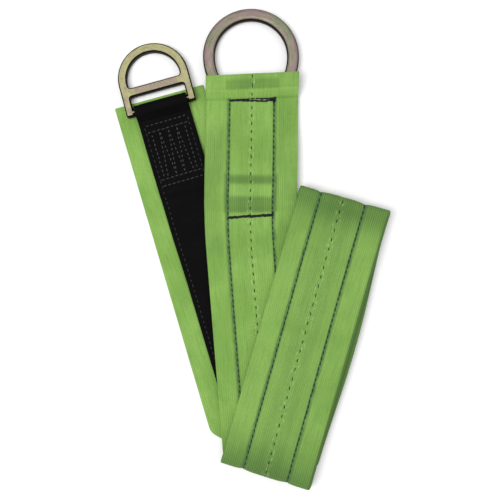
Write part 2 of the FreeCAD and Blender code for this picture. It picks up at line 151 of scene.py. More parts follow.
class Shader:
    """One material and the nodes that make it."""

    def __init__(self, name: str) -> None:
        """Make the material with its surface shader.

        Args:
            name: the material's name.
        """
        self.material = bpy.data.materials.new(name)
        self.material.use_nodes = True
        self.tree = self.material.node_tree
        self.surface = self.tree.nodes["Principled BSDF"]

    def node(self, kind: str, settings: dict | None = None,
             inputs: dict | None = None) -> bpy.types.Node:
        """Add a node.

        Args:
            kind: the node's type.
            settings: what is set first.
            inputs: values or links of its sockets, by name or number.

        Returns:
            The node.
        """
        node = self.tree.nodes.new(kind)
        for name, value in (settings or {}).items():
            setattr(node, name, value)
        for key, value in (inputs or {}).items():
            self.plug(node.inputs[key], value)
        return node

    def plug(self, socket: bpy.types.NodeSocket, value: object) -> None:
        """Link a socket, or set the value that it has on its own.

        Args:
            socket: an input of a node.
            value: a link, a number, a colour or a vector.
        """
        if isinstance(value, Value):
            value = value.socket
        if isinstance(value, bpy.types.NodeSocket):
            self.tree.links.new(value, socket)
        elif isinstance(value, tuple) and len(value) == 3 and socket.type == "RGBA":
            socket.default_value = (*value, 1.0)
        else:
            socket.default_value = value

    def math(self, operation: str, *terms: "Value | float") -> Value:
        """One Math node on the terms."""
        node = self.node("ShaderNodeMath", {"operation": operation}, dict(enumerate(terms)))
        return Value(self, node.outputs[0])

    def mix(self, factor: "Value | float", low: object, high: object) -> bpy.types.NodeSocket:
        """Colour between low, at factor 0, and high, at factor 1."""
        node = self.node("ShaderNodeMix", {"data_type": "RGBA"}, {0: factor, 6: low, 7: high})
        return node.outputs[2]

    def split(self, vector: bpy.types.NodeSocket, scale: float = 1.0) -> tuple[Value, Value, Value]:
        """Take a vector apart.

        Args:
            vector: what is taken apart.
            scale: what each part is multiplied by.

        Returns:
            Its three parts.
        """
        node = self.node("ShaderNodeSeparateXYZ", inputs={0: vector})
        x, y, z = (Value(self, output) for output in node.outputs)
        return (x, y, z) if scale == 1.0 else (x * scale, y * scale, z * scale)

    def join(self, x: "Value | float", y: "Value | float",
             z: "Value | float") -> bpy.types.NodeSocket:
        """Vector of three parts."""
        return self.node("ShaderNodeCombineXYZ", inputs={0: x, 1: y, 2: z}).outputs[0]

    def place(self, output: str = "Object") -> bpy.types.NodeSocket:
        """The point on the piece, or its normal, in the piece's own frame."""
        return self.node("ShaderNodeTexCoord").outputs[output]

    def strap_place(self) -> tuple[Value, Value]:
        """Where the strap's weave lies.

        Returns:
            Millimetres across the strap from the sewn middle, and along it.
        """
        uv = self.node("ShaderNodeUVMap", {"uv_map": WEAVE_MAP}).outputs[0]
        across, along, _ = self.split(uv, 1.0 / MM)
        return across, along

    def shade(self) -> Value:
        """How much painted shade the webbing has here, where it is bent or pressed; below 0, painted
        light.
        """
        node = self.node("ShaderNodeAttribute", {"attribute_name": SHADE})
        return Value(self, node.outputs["Fac"])

    def noise(self, vector: bpy.types.NodeSocket, scale: float, detail: float = 2.0,
              roughness: float = 0.5) -> Value:
        """Cloudy noise.

        Args:
            vector: the place that it is read at.
            scale: how many clouds there are in one unit.
            detail: how many finer layers it has.
            roughness: how strong those are.

        Returns:
            A value from about 0.3 to 0.7.
        """
        node = self.node("ShaderNodeTexNoise",
                         inputs={"Vector": vector, "Scale": scale, "Detail": detail,
                                 "Roughness": roughness})
        return Value(self, node.outputs[0])

    def bump(self, height: Value, distance: float, strength: float = 1.0) -> None:
        """Raise the surface.

        Args:
            height: how high it stands, from 0 to 1.
            distance: the height in metres that 1 stands for.
            strength: how much of it is shown.
        """
        node = self.node("ShaderNodeBump", inputs={"Height": height, "Distance": distance,
                                                   "Strength": strength})
        self.plug(self.surface.inputs["Normal"], node.outputs[0])

    def dress(self, **inputs: object) -> bpy.types.Material:
        """Set or link the surface's sockets.

        Args:
            inputs: their values or links, with underscores in the names.

        Returns:
            The finished material.
        """
        for name, value in inputs.items():
            socket = name.replace("_", " ").title().replace("Ior", "IOR")
            self.plug(self.surface.inputs[socket], value)
        return self.material


Colour = tuple[float, float, float]


@dataclass(frozen=True)
class PadWeave:
    """Lime-green polyester webbing, ribbed lengthwise, with a faint twill near the middle."""

    green: Colour = (0.196, 0.372, 0.072)
    light: Colour = (0.262, 0.462, 0.100)
    lit: Colour = (0.330, 0.570, 0.125)
    # darker yarn, and the colour of painted shade where the shade attribute is above 0
    dark_yarn_and_shade: Colour = (0.082, 0.168, 0.038)
    # sewn: thread fuzz beside the edge rows, and painted shade of the groove that the rows pull in
    sewn: Colour = (0.060, 0.128, 0.044)
    rib: float = 1.7
    weft: float = 0.9
    twill: float = 1.5
    twill_half: float = 9.0
    edge_row: float = EDGE_ROW
    fleck: Colour = (0.42, 0.62, 0.20)
    fleck_reach: float = 1.6
    fuzz_and_shade_middle: float = 18.9
    fuzz_and_shade_half: float = 0.8
    fuzz_and_shade_soft: float = 1.7
    seam_start: float = 20.0
    cloud_scale: float = 26.0
    fuzz_scale: float = 900.0
    relief: float = 0.00028

    def material(self, seam_end: float) -> bpy.types.Material:
        """Make the pad's webbing.

        Args:
            seam_end: distance along the pad where the rows' dark marks stop.

        Returns:
            The material.
        """
        make = Shader("wear_pad_webbing")
        across, along = make.strap_place()
        shade = make.shade()
        cloud = make.noise(make.place(), self.cloud_scale, 3.0)
        fuzz = make.noise(make.place(), self.fuzz_scale, 2.0)
        yarn = make.noise(make.join(across * 0.55, along * 0.045, 0.0), 1.0, 3.0, 0.7)
        rib = across.wave(self.rib)
        twill = (across * 0.8 + along).wave(self.twill) * across.near(0.0, self.twill_half, 3.0)
        # rib contrast rises with the painted shade
        open_ribs = rib * (0.16 + cloud.rising(0.45, 0.7) * 0.14 + shade * 0.5)
        # the dark band beside each edge row: thread fuzz and painted groove shade
        seam_fuzz_and_shade = abs(across).near(self.fuzz_and_shade_middle, self.fuzz_and_shade_half, self.fuzz_and_shade_soft)
        seam_fuzz_and_shade = seam_fuzz_and_shade * along.rising(self.seam_start - 1.0, self.seam_start)
        seam_fuzz_and_shade = seam_fuzz_and_shade * (1.0 - along.rising(seam_end - 2.0, seam_end))
        worn = make.noise(make.join(across * 0.4, along * 0.12, 3.0), 1.0, 3.0, 0.65)
        colour = make.mix(cloud.rising(0.36, 0.66), self.green, self.light)
        # painted light where the shade attribute is below 0
        colour = make.mix(shade * -0.6, colour, self.lit)
        colour = make.mix(yarn.rising(0.42, 0.72) * 0.25, colour, self.dark_yarn_and_shade)
        # painted shade from the shade attribute, plus darker rib valleys
        colour = make.mix(shade * 0.55 + abs(open_ribs) * 0.40, colour, self.dark_yarn_and_shade)
        twilled = twill * (0.16 + shade * 0.35)
        colour = make.mix(twilled + fuzz.rising(0.35, 0.7) * 0.16, colour, self.dark_yarn_and_shade)
        strands = make.noise(make.join(across * 0.9, along * 0.22, 7.0), 1.0, 3.0, 0.7)
        beside = abs(abs(across) - self.fleck_reach).rising(2.2, 0.6)
        colour = make.mix(strands.rising(0.53, 0.64) * beside * 0.5, colour, self.fleck)
        core = abs(across).near(self.edge_row, 0.35, 0.8) * 0.35
        seam_fuzz_and_shade = seam_fuzz_and_shade * (0.34 + worn.rising(0.3, 0.68) * 0.5 + core)
        # darken that band with thread fuzz and painted groove shade
        colour = make.mix(seam_fuzz_and_shade, colour, self.sewn)
        height = rib * 0.55 + along.wave(self.weft) * 0.22 + twill * 0.3 + fuzz * 0.35
        make.bump(height, self.relief)
        return make.dress(base_color=colour, roughness=0.86 - rib * 0.08,
                          sheen_weight=0.06, sheen_roughness=0.4, specular_ior_level=0.2)


@dataclass(frozen=True)
class WebWeave:
    """Black nylon webbing, close-woven in a fine herringbone."""

    black: Colour = (0.0030, 0.0028, 0.0030)
    worn: Colour = (0.0068, 0.0068, 0.0073)
    rib: float = 2.2
    chevron: float = 4.4
    weft: float = 1.3
    clear_of_middle: float = 50.0
    cloud_scale: float = 60.0
    fuzz_scale: float = 700.0
    relief: float = 0.00022

    def material(self) -> bpy.types.Material:
        """Make the web's webbing.

        Returns:
            The material.
        """
        make = Shader("load_web_webbing")
        across, along = make.strap_place()
        fuzz = make.noise(make.place(), self.fuzz_scale, 2.0)
        cloud = make.noise(make.place(), self.cloud_scale, 3.0)
        zig = make.math("PINGPONG", across + self.clear_of_middle, self.chevron / 2)
        chevron = (along + zig * 0.8).wave(self.weft)
        rib = across.wave(self.rib)
        colour = make.mix(chevron * 0.35 + fuzz.rising(0.4, 0.7) * 0.4 * cloud.rising(0.35, 0.65),
                          self.black, self.worn)
        make.bump(chevron * 0.6 + rib * 0.4 + fuzz * 0.3, self.relief)
        return make.dress(base_color=colour, roughness=0.74 - chevron * 0.1,
                          specular_ior_level=0.03)


@dataclass(frozen=True)
class Thread:
    """Bonded sewing thread: two plies laid together, slightly shiny."""

    name: str
    colour: Colour
    light: Colour
    roughness: float = 0.45
    gloss: float = 0.15
    ply: float = 0.9
    fuzz_scale: float = 1500.0
    relief: float = 0.0001

    def material(self) -> bpy.types.Material:
        """Make the thread.

        Returns:
            The material.
        """
        make = Shader(self.name)
        x, y, z = make.split(make.place(), 1.0 / MM)
        fuzz = make.noise(make.place(), self.fuzz_scale, 2.0)
        ply = (x + y * 1.2 + z).wave(self.ply)
        colour = make.mix(ply * 0.5 + fuzz.rising(0.4, 0.7) * 0.5, self.colour, self.light)
        make.bump(ply * 0.7 + fuzz * 0.3, self.relief)
        return make.dress(base_color=colour, roughness=self.roughness - ply * 0.08,
                          specular_ior_level=self.gloss)


@dataclass(frozen=True)
class Plating:
    """Yellow zinc on forged steel: cloudy colours on the flats; walls painted nearly black, as
    painted shade and dark reflection.
    """

    name: str
    joint: str
    arch_height: float
    base: Colour
    second: Colour
    third: Colour
    clear: tuple[float, float]
    flats: tuple[float, float]
    second_bar: tuple[float, float, float] | None = None
    # painted shade and dark reflection: the walls' colour, nearly black
    wall_shade_and_reflection: Colour = (0.012, 0.010, 0.008)
    streak: Colour = (0.075, 0.060, 0.045)
    wall_metal: float = 0.96
    flat_loss: float = 0.44
    grain_scale: float = 1100.0
    relief: float = 0.00018

    @staticmethod
    def flat_side(ring: bpy.types.Object) -> Vector:
        """Upward normal of the ring's largest face, which lies on its flats."""
        normal = max(ring.data.polygons, key=lambda face: face.area).normal
        return normal * math.copysign(1.0, normal.z)

    def material(self, ring: bpy.types.Object) -> bpy.types.Material:
        """Make the plating.

        Args:
            ring: the ring; its joint and its largest face give the frame of the colours.

        Returns:
            The material.
        """
        make = Shader(self.name)
        joint = next(j for j in frame["joints"] if j["name"] == self.joint)
        bar, axis = np.array(joint["pos_m"]) / MM, np.array(joint["axis"])
        x, y, z = make.split(make.place(), 1.0 / MM)
        right = (x - bar[0]) * float(axis[0]) + (y - bar[1]) * float(axis[1])
        up = (y - bar[1]) * float(axis[0]) - (x - bar[0]) * float(axis[1])
        from_arch = up - self.arch_height
        radius = (right * right + from_arch * from_arch).root()
        angle = make.math("ARCTAN2", right, from_arch)
        streaks = make.noise(make.join(radius * 0.9, angle * 5.0, z * 0.3), 1.0, 4.0, 0.65)
        patches = make.noise(make.join(radius * 0.10, angle * 1.7, 4.0), 1.0, 4.0, 0.65)
        spots = make.noise(make.join(radius * 0.30, angle * 2.6, 9.0), 1.0, 3.0, 0.6)
        grain = make.noise(make.place(), self.grain_scale, 3.0, 0.7)
        tint = make.mix(patches.rising(*self.clear), self.base, self.second)
        tint = make.mix(spots.rising(0.54, 0.74) * 0.75, tint, self.third)
        if self.second_bar:
            low, high, reach = self.second_bar
            pink = up.near((low + high) / 2, (high - low) / 2 - 1.0, 2.0)
            pink = pink * abs(right).near(0.0, reach, 4.0)
            feet = 1.0 - up.rising(-1.0, 5.0)
            pink = make.math("MAXIMUM", pink, feet * 0.5)
            tint = make.mix(pink * 0.75, tint, self.second)
        tint = make.mix(streaks.rising(0.42, 0.72) * 0.40, tint, self.streak)
        facing = make.node("ShaderNodeVectorMath", {"operation": "DOT_PRODUCT"},
                           {0: make.place("Normal"), 1: tuple(self.flat_side(ring))})
        flat = abs(Value(make, facing.outputs["Value"])).rising(*self.flats)
        # walls get the painted shade and dark reflection colour, flats the plating's tint
        colour = make.mix(flat, self.wall_shade_and_reflection, tint)
        make.bump(streaks * 0.4 + grain * 0.6, self.relief, 0.8)
        return make.dress(base_color=colour, metallic=self.wall_metal - flat * self.flat_loss,
                          roughness=0.40 + grain * 0.25 + streaks * 0.12,
                          coat_weight=flat * 0.06, coat_roughness=0.25)


@dataclass(frozen=True)
class Paper:
    """Pale matt floor."""

    white: Colour = (0.93, 0.93, 0.93)
    dull: float = 0.985
    cloud_scale: float = 3.0

    def material(self) -> bpy.types.Material:
        """Make the floor's paper.

        Returns:
            The material.
        """
        make = Shader("pale_floor")
        cloud = make.noise(make.place(), self.cloud_scale)
        colour = make.mix(cloud, self.white, tuple(part * self.dull for part in self.white))
        return make.dress(base_color=colour, roughness=0.95, specular_ior_level=0.1)


# ---- the sling's path ---------------------------------------------------------------------
def compass(angle: float) -> np.ndarray:
    """Level unit vector at an angle in degrees."""
    turn = math.radians(angle)
    return np.array((math.cos(turn), math.sin(turn), 0.0))


def eased(share: float) -> tuple[float, float]:
    """Smooth step from 0 to 1 and its slope."""
    share = min(max(share, 0.0), 1.0)
    return (1 - math.cos(math.pi * share)) / 2, math.pi / 2 * math.sin(math.pi * share)


def smooth(share: np.ndarray) -> np.ndarray:
    """Smooth step from 0 to 1 on an array."""
    share = np.clip(share, 0.0, 1.0)
    return share * share * (3.0 - 2.0 * share)


def band(place: np.ndarray, low: float, high: float, soft: float) -> np.ndarray:
    """1 between low and high, 0 further than the soft width outside."""
    return smooth((place - low) / soft + 1.0) * smooth((high - place) / soft + 1.0)


class Mark(NamedTuple):
    """A stretch of the strap that is pressed, or painted darker or lighter with its ribs opened, how
    softly it ends and how strong it is.
    """

    low: float
    high: float
    soft: float
    amount: float

    def at(self, place: np.ndarray) -> np.ndarray:
        """Its strength at each place."""
        return band(place, self.low, self.high, self.soft) * self.amount


class Station(NamedTuple):
    """One place on the strap: its centre, the vector across per millimetre and the normal."""

    centre: np.ndarray
    across: np.ndarray
    normal: np.ndarray


@dataclass
class Line:
    """A strap's path, as arrays over its stations."""

    centre: np.ndarray
    across: np.ndarray
    normal: np.ndarray
    along: np.ndarray

    @classmethod
    def through(cls, stations: Sequence[Station], pitch: float = 1.6) -> "Line":
        """Path through the stations, with more between those that are far apart.

        Args:
            stations: places in order.
            pitch: the longest step that is left.

        Returns:
            The path, its length counted from 0.
        """
        centre = np.array([station.centre for station in stations])
        gaps = np.linalg.norm(np.diff(centre, axis=0), axis=1)
        counts = np.maximum(1, np.ceil(gaps / pitch).astype(int))
        places = [index + np.arange(count) / count for index, count in enumerate(counts)]
        places = np.concatenate([*places, [len(gaps)]])
        order = np.arange(len(stations))

        def spread(values: np.ndarray) -> np.ndarray:
            """Values at every place."""
            return np.stack([np.interp(places, order, column) for column in values.T], axis=1)

        centre = spread(centre)
        across = spread(np.array([station.across for station in stations]))
        normal = spread(np.array([station.normal for station in stations]))
        normal /= np.linalg.norm(normal, axis=1)[:, None]
        steps = np.linalg.norm(np.diff(centre, axis=0), axis=1)
        return cls(centre, across, normal, np.concatenate([[0.0], np.cumsum(steps)]))

    @property
    def length(self) -> float:
        """Length of the path."""
        return float(self.along[-1] - self.along[0])

    def moved(self, start: float) -> "Line":
        """The same path with its length counted from start."""
        return Line(self.centre, self.across, self.normal, self.along - self.along[0] + start)

    def at(self, along: np.ndarray) -> tuple[np.ndarray, np.ndarray, np.ndarray]:
        """Look up places on the path.

        Args:
            along: their distances along it.

        Returns:
            Their centres, vectors across and normals.
        """
        parts = []
        for values in (self.centre, self.across, self.normal):
            parts.append(np.stack([np.interp(along, self.along, column) for column in values.T],
                                  axis=1))
        parts[2] /= np.linalg.norm(parts[2], axis=1)[:, None]
        return parts[0], parts[1], parts[2]


@dataclass(frozen=True)
class Webbing:
    """Widths and thicknesses of the two straps and how closely they lie."""

    pad_width: float = 76.0
    pad_thickness: float = 1.9
    web_width: float = 44.5
    web_thickness: float = 2.1
    sewn_gap: float = 0.1
    layer_gap: float = 0.9

    @property
    def half_gap(self) -> float:
        """From the plane between pad and web to either."""
        return self.sewn_gap / 2

    @property
    def pad_face(self) -> float:
        """From that plane to the pad's outer face."""
        return self.pad_thickness + self.half_gap

    @property
    def web_face(self) -> float:
        """From that plane to the web's outer face."""
        return self.web_thickness + self.half_gap

    @property
    def tail_lift(self) -> float:
        """How far a tail holds two layers apart."""
        return self.web_thickness + self.sewn_gap


@dataclass(frozen=True)
class RingEnd:
    """How a run's end goes round its ring's bar, and where it lies."""

    end: tuple[float, float]
    heading: float
    skew: float
    bar: float
    loop: float
    hollow: float
    angle: float
    bend: tuple[float, float, float] = (0.0, 1.0, 0.0)
    rise: tuple[float, float, float] = (0.0, 1.0, 0.0)
    skew_fade: float = 5.5
    ease_steps: int = 9
    loop_steps: int = 44

    @property
    def reach(self) -> float:
        """Work out how far the ramp reaches beyond the bar.

        Returns:
            Its length along the run.
        """
        turn = math.radians(self.angle)
        straight = (2 * self.loop - (self.loop + self.hollow) * (1 - math.cos(turn))) / math.sin(turn)
        return (self.loop + self.hollow) * math.sin(turn) + straight * math.cos(turn)

    @property
    def ramp_end(self) -> float:
        """Where the ramp has come down, from the pad's cut end."""
        return self.bar + self.reach

    def plan(self, along: float) -> tuple[np.ndarray, float]:
        """Find the run's middle in plan.

        Args:
            along: distance from its end.

        Returns:
            The middle there and the heading in degrees.
        """
        start, length, turned = self.bend
        before = min(along, start) if turned else along
        point = np.array((*self.end, 0.0)) + compass(self.heading) * before
        if along <= before:
            return point, self.heading
        turn = turned * min((along - before) / length, 1.0)
        chord = 2 * length / math.radians(turned) * math.sin(math.radians(turn) / 2)
        point = point + compass(self.heading + turn / 2) * chord
        after = max(along - before - length, 0.0)
        return point + compass(self.heading + turn) * after, self.heading + turn

    def station(self, along: float, height: float, angle: float) -> Station:
        """Make a station on the run.

        Args:
            along: distance from its end.
            height: height of the plane between pad and web.
            angle: 0 travels away from the ring, 180 towards it.

        Returns:
            The station.
        """
        point, heading = self.plan(along)
        start, length, gain = self.rise
        gained, slope = eased((along - start) / length)
        ahead = math.cos(math.radians(angle))
        rise = math.sin(math.radians(angle)) + gain * slope / length * ahead
        size = math.hypot(ahead, rise)
        skew = self.skew * (1 - eased((along - self.ramp_end) / self.skew_fade)[0])
        across = compass(heading + 90 + skew) / math.cos(math.radians(skew))
        normal = compass(heading) * (-rise / size) + UP * (ahead / size)
        return Station(point + UP * (height + gain * gained), across, normal)

    def follow(self, level: float, profile: Sequence[tuple[float, float, float]]) -> list[Station]:
        """Stations of a profile, whose heights are above the level."""
        return [self.station(along, level + height, angle) for along, height, angle in profile]

    def loop_profile(self) -> list[tuple[float, float, float]]:
        """Trace the web that comes in on top, climbs over the bar, rounds it and leaves underneath.

        Returns:
            Distance along, height and angle of each point.
        """
        points = []
        for step in range(self.ease_steps + 1):
            turn = math.radians(self.angle * step / self.ease_steps)
            points.append((self.ramp_end - self.hollow * math.sin(turn),
                           self.hollow * (1 - math.cos(turn)), 180 - math.degrees(turn)))
        for step in range(self.loop_steps + 1):
            heading = 180 - self.angle + (180 + self.angle) * step / self.loop_steps
            turn = math.radians(heading)
            points.append((self.bar + self.loop * math.sin(turn),
                           self.loop * (1 - math.cos(turn)), heading))
        return points

    def cover_profile(self, lift: float, droop: float) -> list[tuple[float, float, float]]:
        """Trace the pad that lies over the loop: flat from its cut end, then down the ramp.

        Args:
            lift: thickness of the tail that it lies on.
            droop: how far its cut end hangs down.

        Returns:
            Distance along, height and angle of each point.
        """
        over, under = self.loop + lift, self.hollow - lift
        points = [(0.0, self.loop + over - droop, 0.0)]
        turns = [math.radians(self.angle * step / self.ease_steps)
                 for step in range(self.ease_steps + 1)]
        for turn in turns:
            points.append((self.bar + over * math.sin(turn), self.loop + over * math.cos(turn),
                           -math.degrees(turn)))
        for turn in turns[::-1]:
            points.append((self.ramp_end - under * math.sin(turn),
                           lift + under * (1 - math.cos(turn)), -math.degrees(turn)))
        return points


def step_profile(start: float, low: float, end: float, high: float,
                 steps: int = 9) -> list[tuple[float, float, float]]:
    """Trace an eased change of height.

    Args:
        start: distance along where it begins.
        low: height there.
        end: distance along where it ends.
        high: height there.
        steps: how many steps it has.

    Returns:
        Distance along, height and angle of each point.
    """
    points = []
    for step in range(steps + 1):
        share, slope = eased(step / steps)
        rise = (high - low) * slope / (end - start)
        heading = math.degrees(math.atan(rise)) + (0 if end > start else 180)
        points.append((start + (end - start) * step / steps, low + (high - low) * share, heading))
    return points


def fold(centre: np.ndarray, heading: float, axis: float, sink: np.ndarray, pad_inside: bool,
         radius: float, steps: int = 30) -> list[Station]:
    """Half turn of the strap round a level line.

    Args:
        centre: where the turn begins.
        heading: the strap's heading there, in degrees.
        axis: heading of the fold's line, which may lie out of square.
        sink: unit vector from the start towards the line.
        pad_inside: whether the pad lies on the inside of the turn.
        radius: radius of the plane between pad and web.
        steps: stations in the turn.

    Returns:
        The stations, the first at the start of the turn.
    """
    across, travel = compass(axis), compass(heading)
    ahead = np.cross(UP, across)
    ahead = ahead * math.copysign(1.0, ahead @ travel)
    slip = (travel @ across) / (travel @ ahead)
    stations = []
    for step in range(steps + 1):
        turned = math.pi * step / steps
        place = centre + across * (slip * radius * turned) + ahead * (radius * math.sin(turned))
        place = place + sink * (radius * (1 - math.cos(turned)))
        inward = sink * math.cos(turned) - ahead * math.sin(turned)
        stations.append(Station(place, across / (travel @ ahead), inward if pad_inside else -inward))
    return stations


@dataclass
class Route:
    """Where the sling goes: four runs and three folds between its two rings."""

    webbing: Webbing = field(default_factory=Webbing)
    large_length: float = 315.0
    large_tail: float = 105.0
    tail_step: float = 8.0
    rise_wait: float = 6.0
    rise_length: float = 40.0
    hidden_heading: float = 74.24
    hidden_length: float = 216.5
    hidden_bow: float = 3.5
    top_heading: float = -106.1
    top_length: float = 222.0
    outer_axis: float = -17.6
    fold_pitch: float = 0.7
    small_heading: float = -73.5
    small_straight: float = 275.5
    turn_reach: float = 41.3
    turn_heading: float = 108.2
    edge_pulls: tuple[float, float] = (1.45, 1.0)
    end_droop: float = 0.5
    thread: float = 0.3
    loop_room: float = 0.4
    large_rows_past: tuple[float, float] = (1.0, 2.9)
    small_rows: tuple[float, ...] = (0.0, 5.7, 46.0, 51.4)
    small_rows_after_ramp: float = 3.9
    small_tail_past_rows: float = 4.9
    run_steps: int = 24
    drift_places: tuple[float, ...] = (0.0, 90.0, 180.0, 320.0, 600.0, 765.0, 830.0, 880.0, 960.0,
                                       1005.0)
    drift_offsets: tuple[float, ...] = (0.0, 0.0, -1.2, -1.7, -2.0, -0.7, 0.3, 1.1, 0.9, 0.0)

    def __post_init__(self) -> None:
        """Work out the heights, the two ring ends and every stretch of the path."""
        w = self.webbing
        self.small_level = w.pad_face
        self.large_level = self.small_level + 2 * w.web_face + w.layer_gap
        self.hidden_level = self.large_level + 2 * w.pad_face + w.layer_gap
        self.top_level = self.hidden_level + 2 * w.web_face + w.layer_gap
        self.ground_level = w.web_face
        room = self.thread + self.loop_room
        large = RingEnd(end=(1.039, 142.155), heading=-90.8, skew=3.3, bar=7.35, loop=4.604,
                        hollow=w.tail_lift + w.pad_face + room, angle=50.0,
                        bend=(100.0, 40.0, 5.5))
        rise = (large.ramp_end + self.rise_wait, self.rise_length,
                self.large_level - self.ground_level)
        self.large = replace(large, rise=rise)
        self._folded_stretch()
        self._small_stretch(w.web_face + room)
        self._lines()

    def _folded_stretch(self) -> None:
        """Inner fold, hidden run, top fold and outer fold."""
        foot, heading = self.large.plan(self.large_length)
        inner_axis = (heading + self.hidden_heading) / 2
        inner = fold(foot + UP * self.large_level, heading, inner_axis, UP, True,
                     (self.hidden_level - self.large_level) / 2)
        start = inner[-1].centre
        hidden = self._bowed(start)
        end = start + compass(self.hidden_heading) * self.hidden_length
        top = fold(end, self.hidden_heading, (self.hidden_heading + self.top_heading) / 2, UP,
                   False, (self.top_level - self.hidden_level) / 2)
        finish = top[-1].centre + compass(self.top_heading) * self.top_length
        self.outer = fold(finish, self.top_heading, self.outer_axis, -UP, False,
                          (self.top_level - self.small_level) / 2, 40)
        self.folded = [*inner, *hidden, *top, self.outer[0]]
        self.fold_parts = inner, top

    def _bowed(self, start: np.ndarray) -> list[Station]:
        """Trace the hidden run, which strays sideways at mid length.

        Args:
            start: where the inner fold leaves it.

        Returns:
            Its stations.
        """
        ahead, side = compass(self.hidden_heading), compass(self.hidden_heading - 90)
        stations = []
        for step in range(1, self.run_steps):
            share = step / self.run_steps
            stray = self.hidden_bow * math.sin(math.pi * share) ** 2
            slope = self.hidden_bow * math.pi * math.sin(2 * math.pi * share) / self.hidden_length
            across = side - ahead * slope
            stations.append(Station(start + ahead * (self.hidden_length * share) + side * stray,
                                    across / np.linalg.norm(across), -UP))
        return stations

    def _small_stretch(self, hollow: float) -> None:
        """Trace the small ring's run, which turns in its own plane under the top run.

        Args:
            hollow: radius of the web's bend before its ramp.
        """
        heading = self.small_heading
        straight_end = self.outer[-1].centre + compass(self.turn_heading) * self.turn_reach
        end = straight_end - compass(heading) * self.small_straight
        self.small = RingEnd(end=(end[0], end[1]), heading=heading, skew=-1.1, bar=8.7, loop=3.25,
                             hollow=hollow, angle=45.0)
        joint = self.small.station(self.small_straight, self.small_level, 180)
        under_heading = 2 * self.outer_axis - self.top_heading
        half = self.webbing.pad_width / 2
        first, edges = self.outer[-1], []
        for side, pull in zip((-half, half), self.edge_pulls):
            start, stop = first.centre + first.across * side, joint.centre + joint.across * side
            reach = np.linalg.norm(stop - start) * pull
            edges.append((start, compass(under_heading) * reach, stop,
                          compass(heading + 180) * reach))
        turn = []
        for step in range(1, self.run_steps):
            left, right = (self._hermite(*edge, step / self.run_steps) for edge in edges)
            turn.append(Station((left + right) / 2, (right - left) / (2 * half), first.normal))
        self.small_line = [first, *turn, joint]

    @staticmethod
    def _hermite(start: np.ndarray, start_pull: np.ndarray, end: np.ndarray,
                 end_pull: np.ndarray, share: float) -> np.ndarray:
        """Find a point on a curve that leaves and arrives along two pulls.

        Args:
            start: the curve's first point.
            start_pull: direction and strength there.
            end: its last point.
            end_pull: the same there.
            share: how far along it the point lies, from 0 to 1.

        Returns:
            The point.
        """
        s2, s3 = share ** 2, share ** 3
        point = start * (2 * s3 - 3 * s2 + 1) + end * (3 * s2 - 2 * s3)
        return point + start_pull * (s3 - 2 * s2 + share) + end_pull * (s3 - s2)

    def _lines(self) -> None:
        """Paths of the pad and the web, each in three stretches."""
        w, large, small = self.webbing, self.large, self.small
        start, length, _ = large.rise
        climb = [start + length * step / self.run_steps for step in range(self.run_steps + 1)]
        bend_start, bend_length, _ = large.bend
        bend = [bend_start + bend_length * step / self.run_steps
                for step in range(self.run_steps + 1)]
        doubled = [along for along in climb + bend if along < self.large_tail]
        level = self.ground_level
        web = [(along, 0.0, 180.0) for along in [self.large_tail] + doubled[::-1]]
        web += large.loop_profile() + [(along, 0.0, 0.0) for along in climb + bend]
        step_end = self.large_tail + self.tail_step
        pad = large.cover_profile(w.tail_lift, self.end_droop)
        pad += [(along, w.tail_lift, 0.0) for along in doubled]
        pad += step_profile(self.large_tail, w.tail_lift, step_end, 0.0)
        pad += [(along, 0.0, 0.0) for along in bend if along > step_end]
        past_ramp, past_step = self.large_rows_past
        self.large_box = (large.ramp_end + past_ramp, step_end + past_step)

        self.small_box = [small.ramp_end + self.small_rows_after_ramp + row
                          for row in self.small_rows]
        self.small_tail = self.small_box[-1] + self.small_tail_past_rows
        over = small.follow(self.small_level, step_profile(self.small_tail + self.tail_step, 0.0,
                                                           self.small_tail, w.tail_lift))
        wrap = small.follow(self.small_level + w.tail_lift,
                            small.loop_profile() + [(self.small_tail, 0.0, 0.0)])
        pad_end = small.station(0.0, self.small_level, 180)

        self.pad_folded = Line.through(large.follow(level, pad) + self.folded)
        reached = self.pad_folded.length
        web_folded = Line.through(large.follow(level, web) + self.folded)
        self.web_folded = web_folded.moved(reached - web_folded.length)
        self.fold_line = Line.through(self.outer, self.fold_pitch).moved(reached)
        reached += self.fold_line.length
        self.pad_small = Line.through(self.small_line + [pad_end]).moved(reached)
        self.web_small = Line.through(self.small_line + over + wrap).moved(reached)
        self.pad_length = reached + self.pad_small.length
        turns = [np.mean([station.centre for station in part], axis=0) for part in self.fold_parts]
        self.folds = [self._nearest(turn) for turn in turns]
        self.folds.append(float(np.mean(self.fold_line.along)))

    def _nearest(self, point: np.ndarray) -> float:
        """Distance along the pad of the station nearest to a point."""
        gaps = np.linalg.norm(self.pad_folded.centre - point, axis=1)
        return float(self.pad_folded.along[int(np.argmin(gaps))])

    def drift(self, along: np.ndarray) -> np.ndarray:
        """How far the web and its rows lie to one side of the pad's middle."""
        return np.interp(along, self.drift_places, self.drift_offsets)

    def strap_distance(self, small_along: float) -> float:
        """Distance along the whole pad of a place on the small ring's run."""
        return self.pad_length - small_along

    def parts(self, folded: Line, small: Line) -> dict[str, tuple[Line, Body | None]]:
        """List a strap's three pieces.

        Args:
            folded: its path on the folded run.
            small: its path on the small ring's run.

        Returns:
            The path and the body of each, by name; the piece at the outer fold has no body.
        """
        return {"folded_run": (folded, Body.FOLDED), "outer_fold": (self.fold_line, None),
                "small_ring_run": (small, Body.SMALL_RUN)}


# ---- meshes -------------------------------------------------------------------------------
def solid_volume(points: np.ndarray, quads: np.ndarray) -> float:
    """Work out the volume inside a mesh.

    Args:
        points: its corners.
        quads: the corners of its faces.

    Returns:
        The volume, negative where the faces look inward.
    """
    a, b, c, d = (points[quads[:, corner]] for corner in range(4))
    lower = np.einsum("ij,ij->i", a, np.cross(b, c)).sum()
    return float(lower + np.einsum("ij,ij->i", a, np.cross(c, d)).sum()) / 6


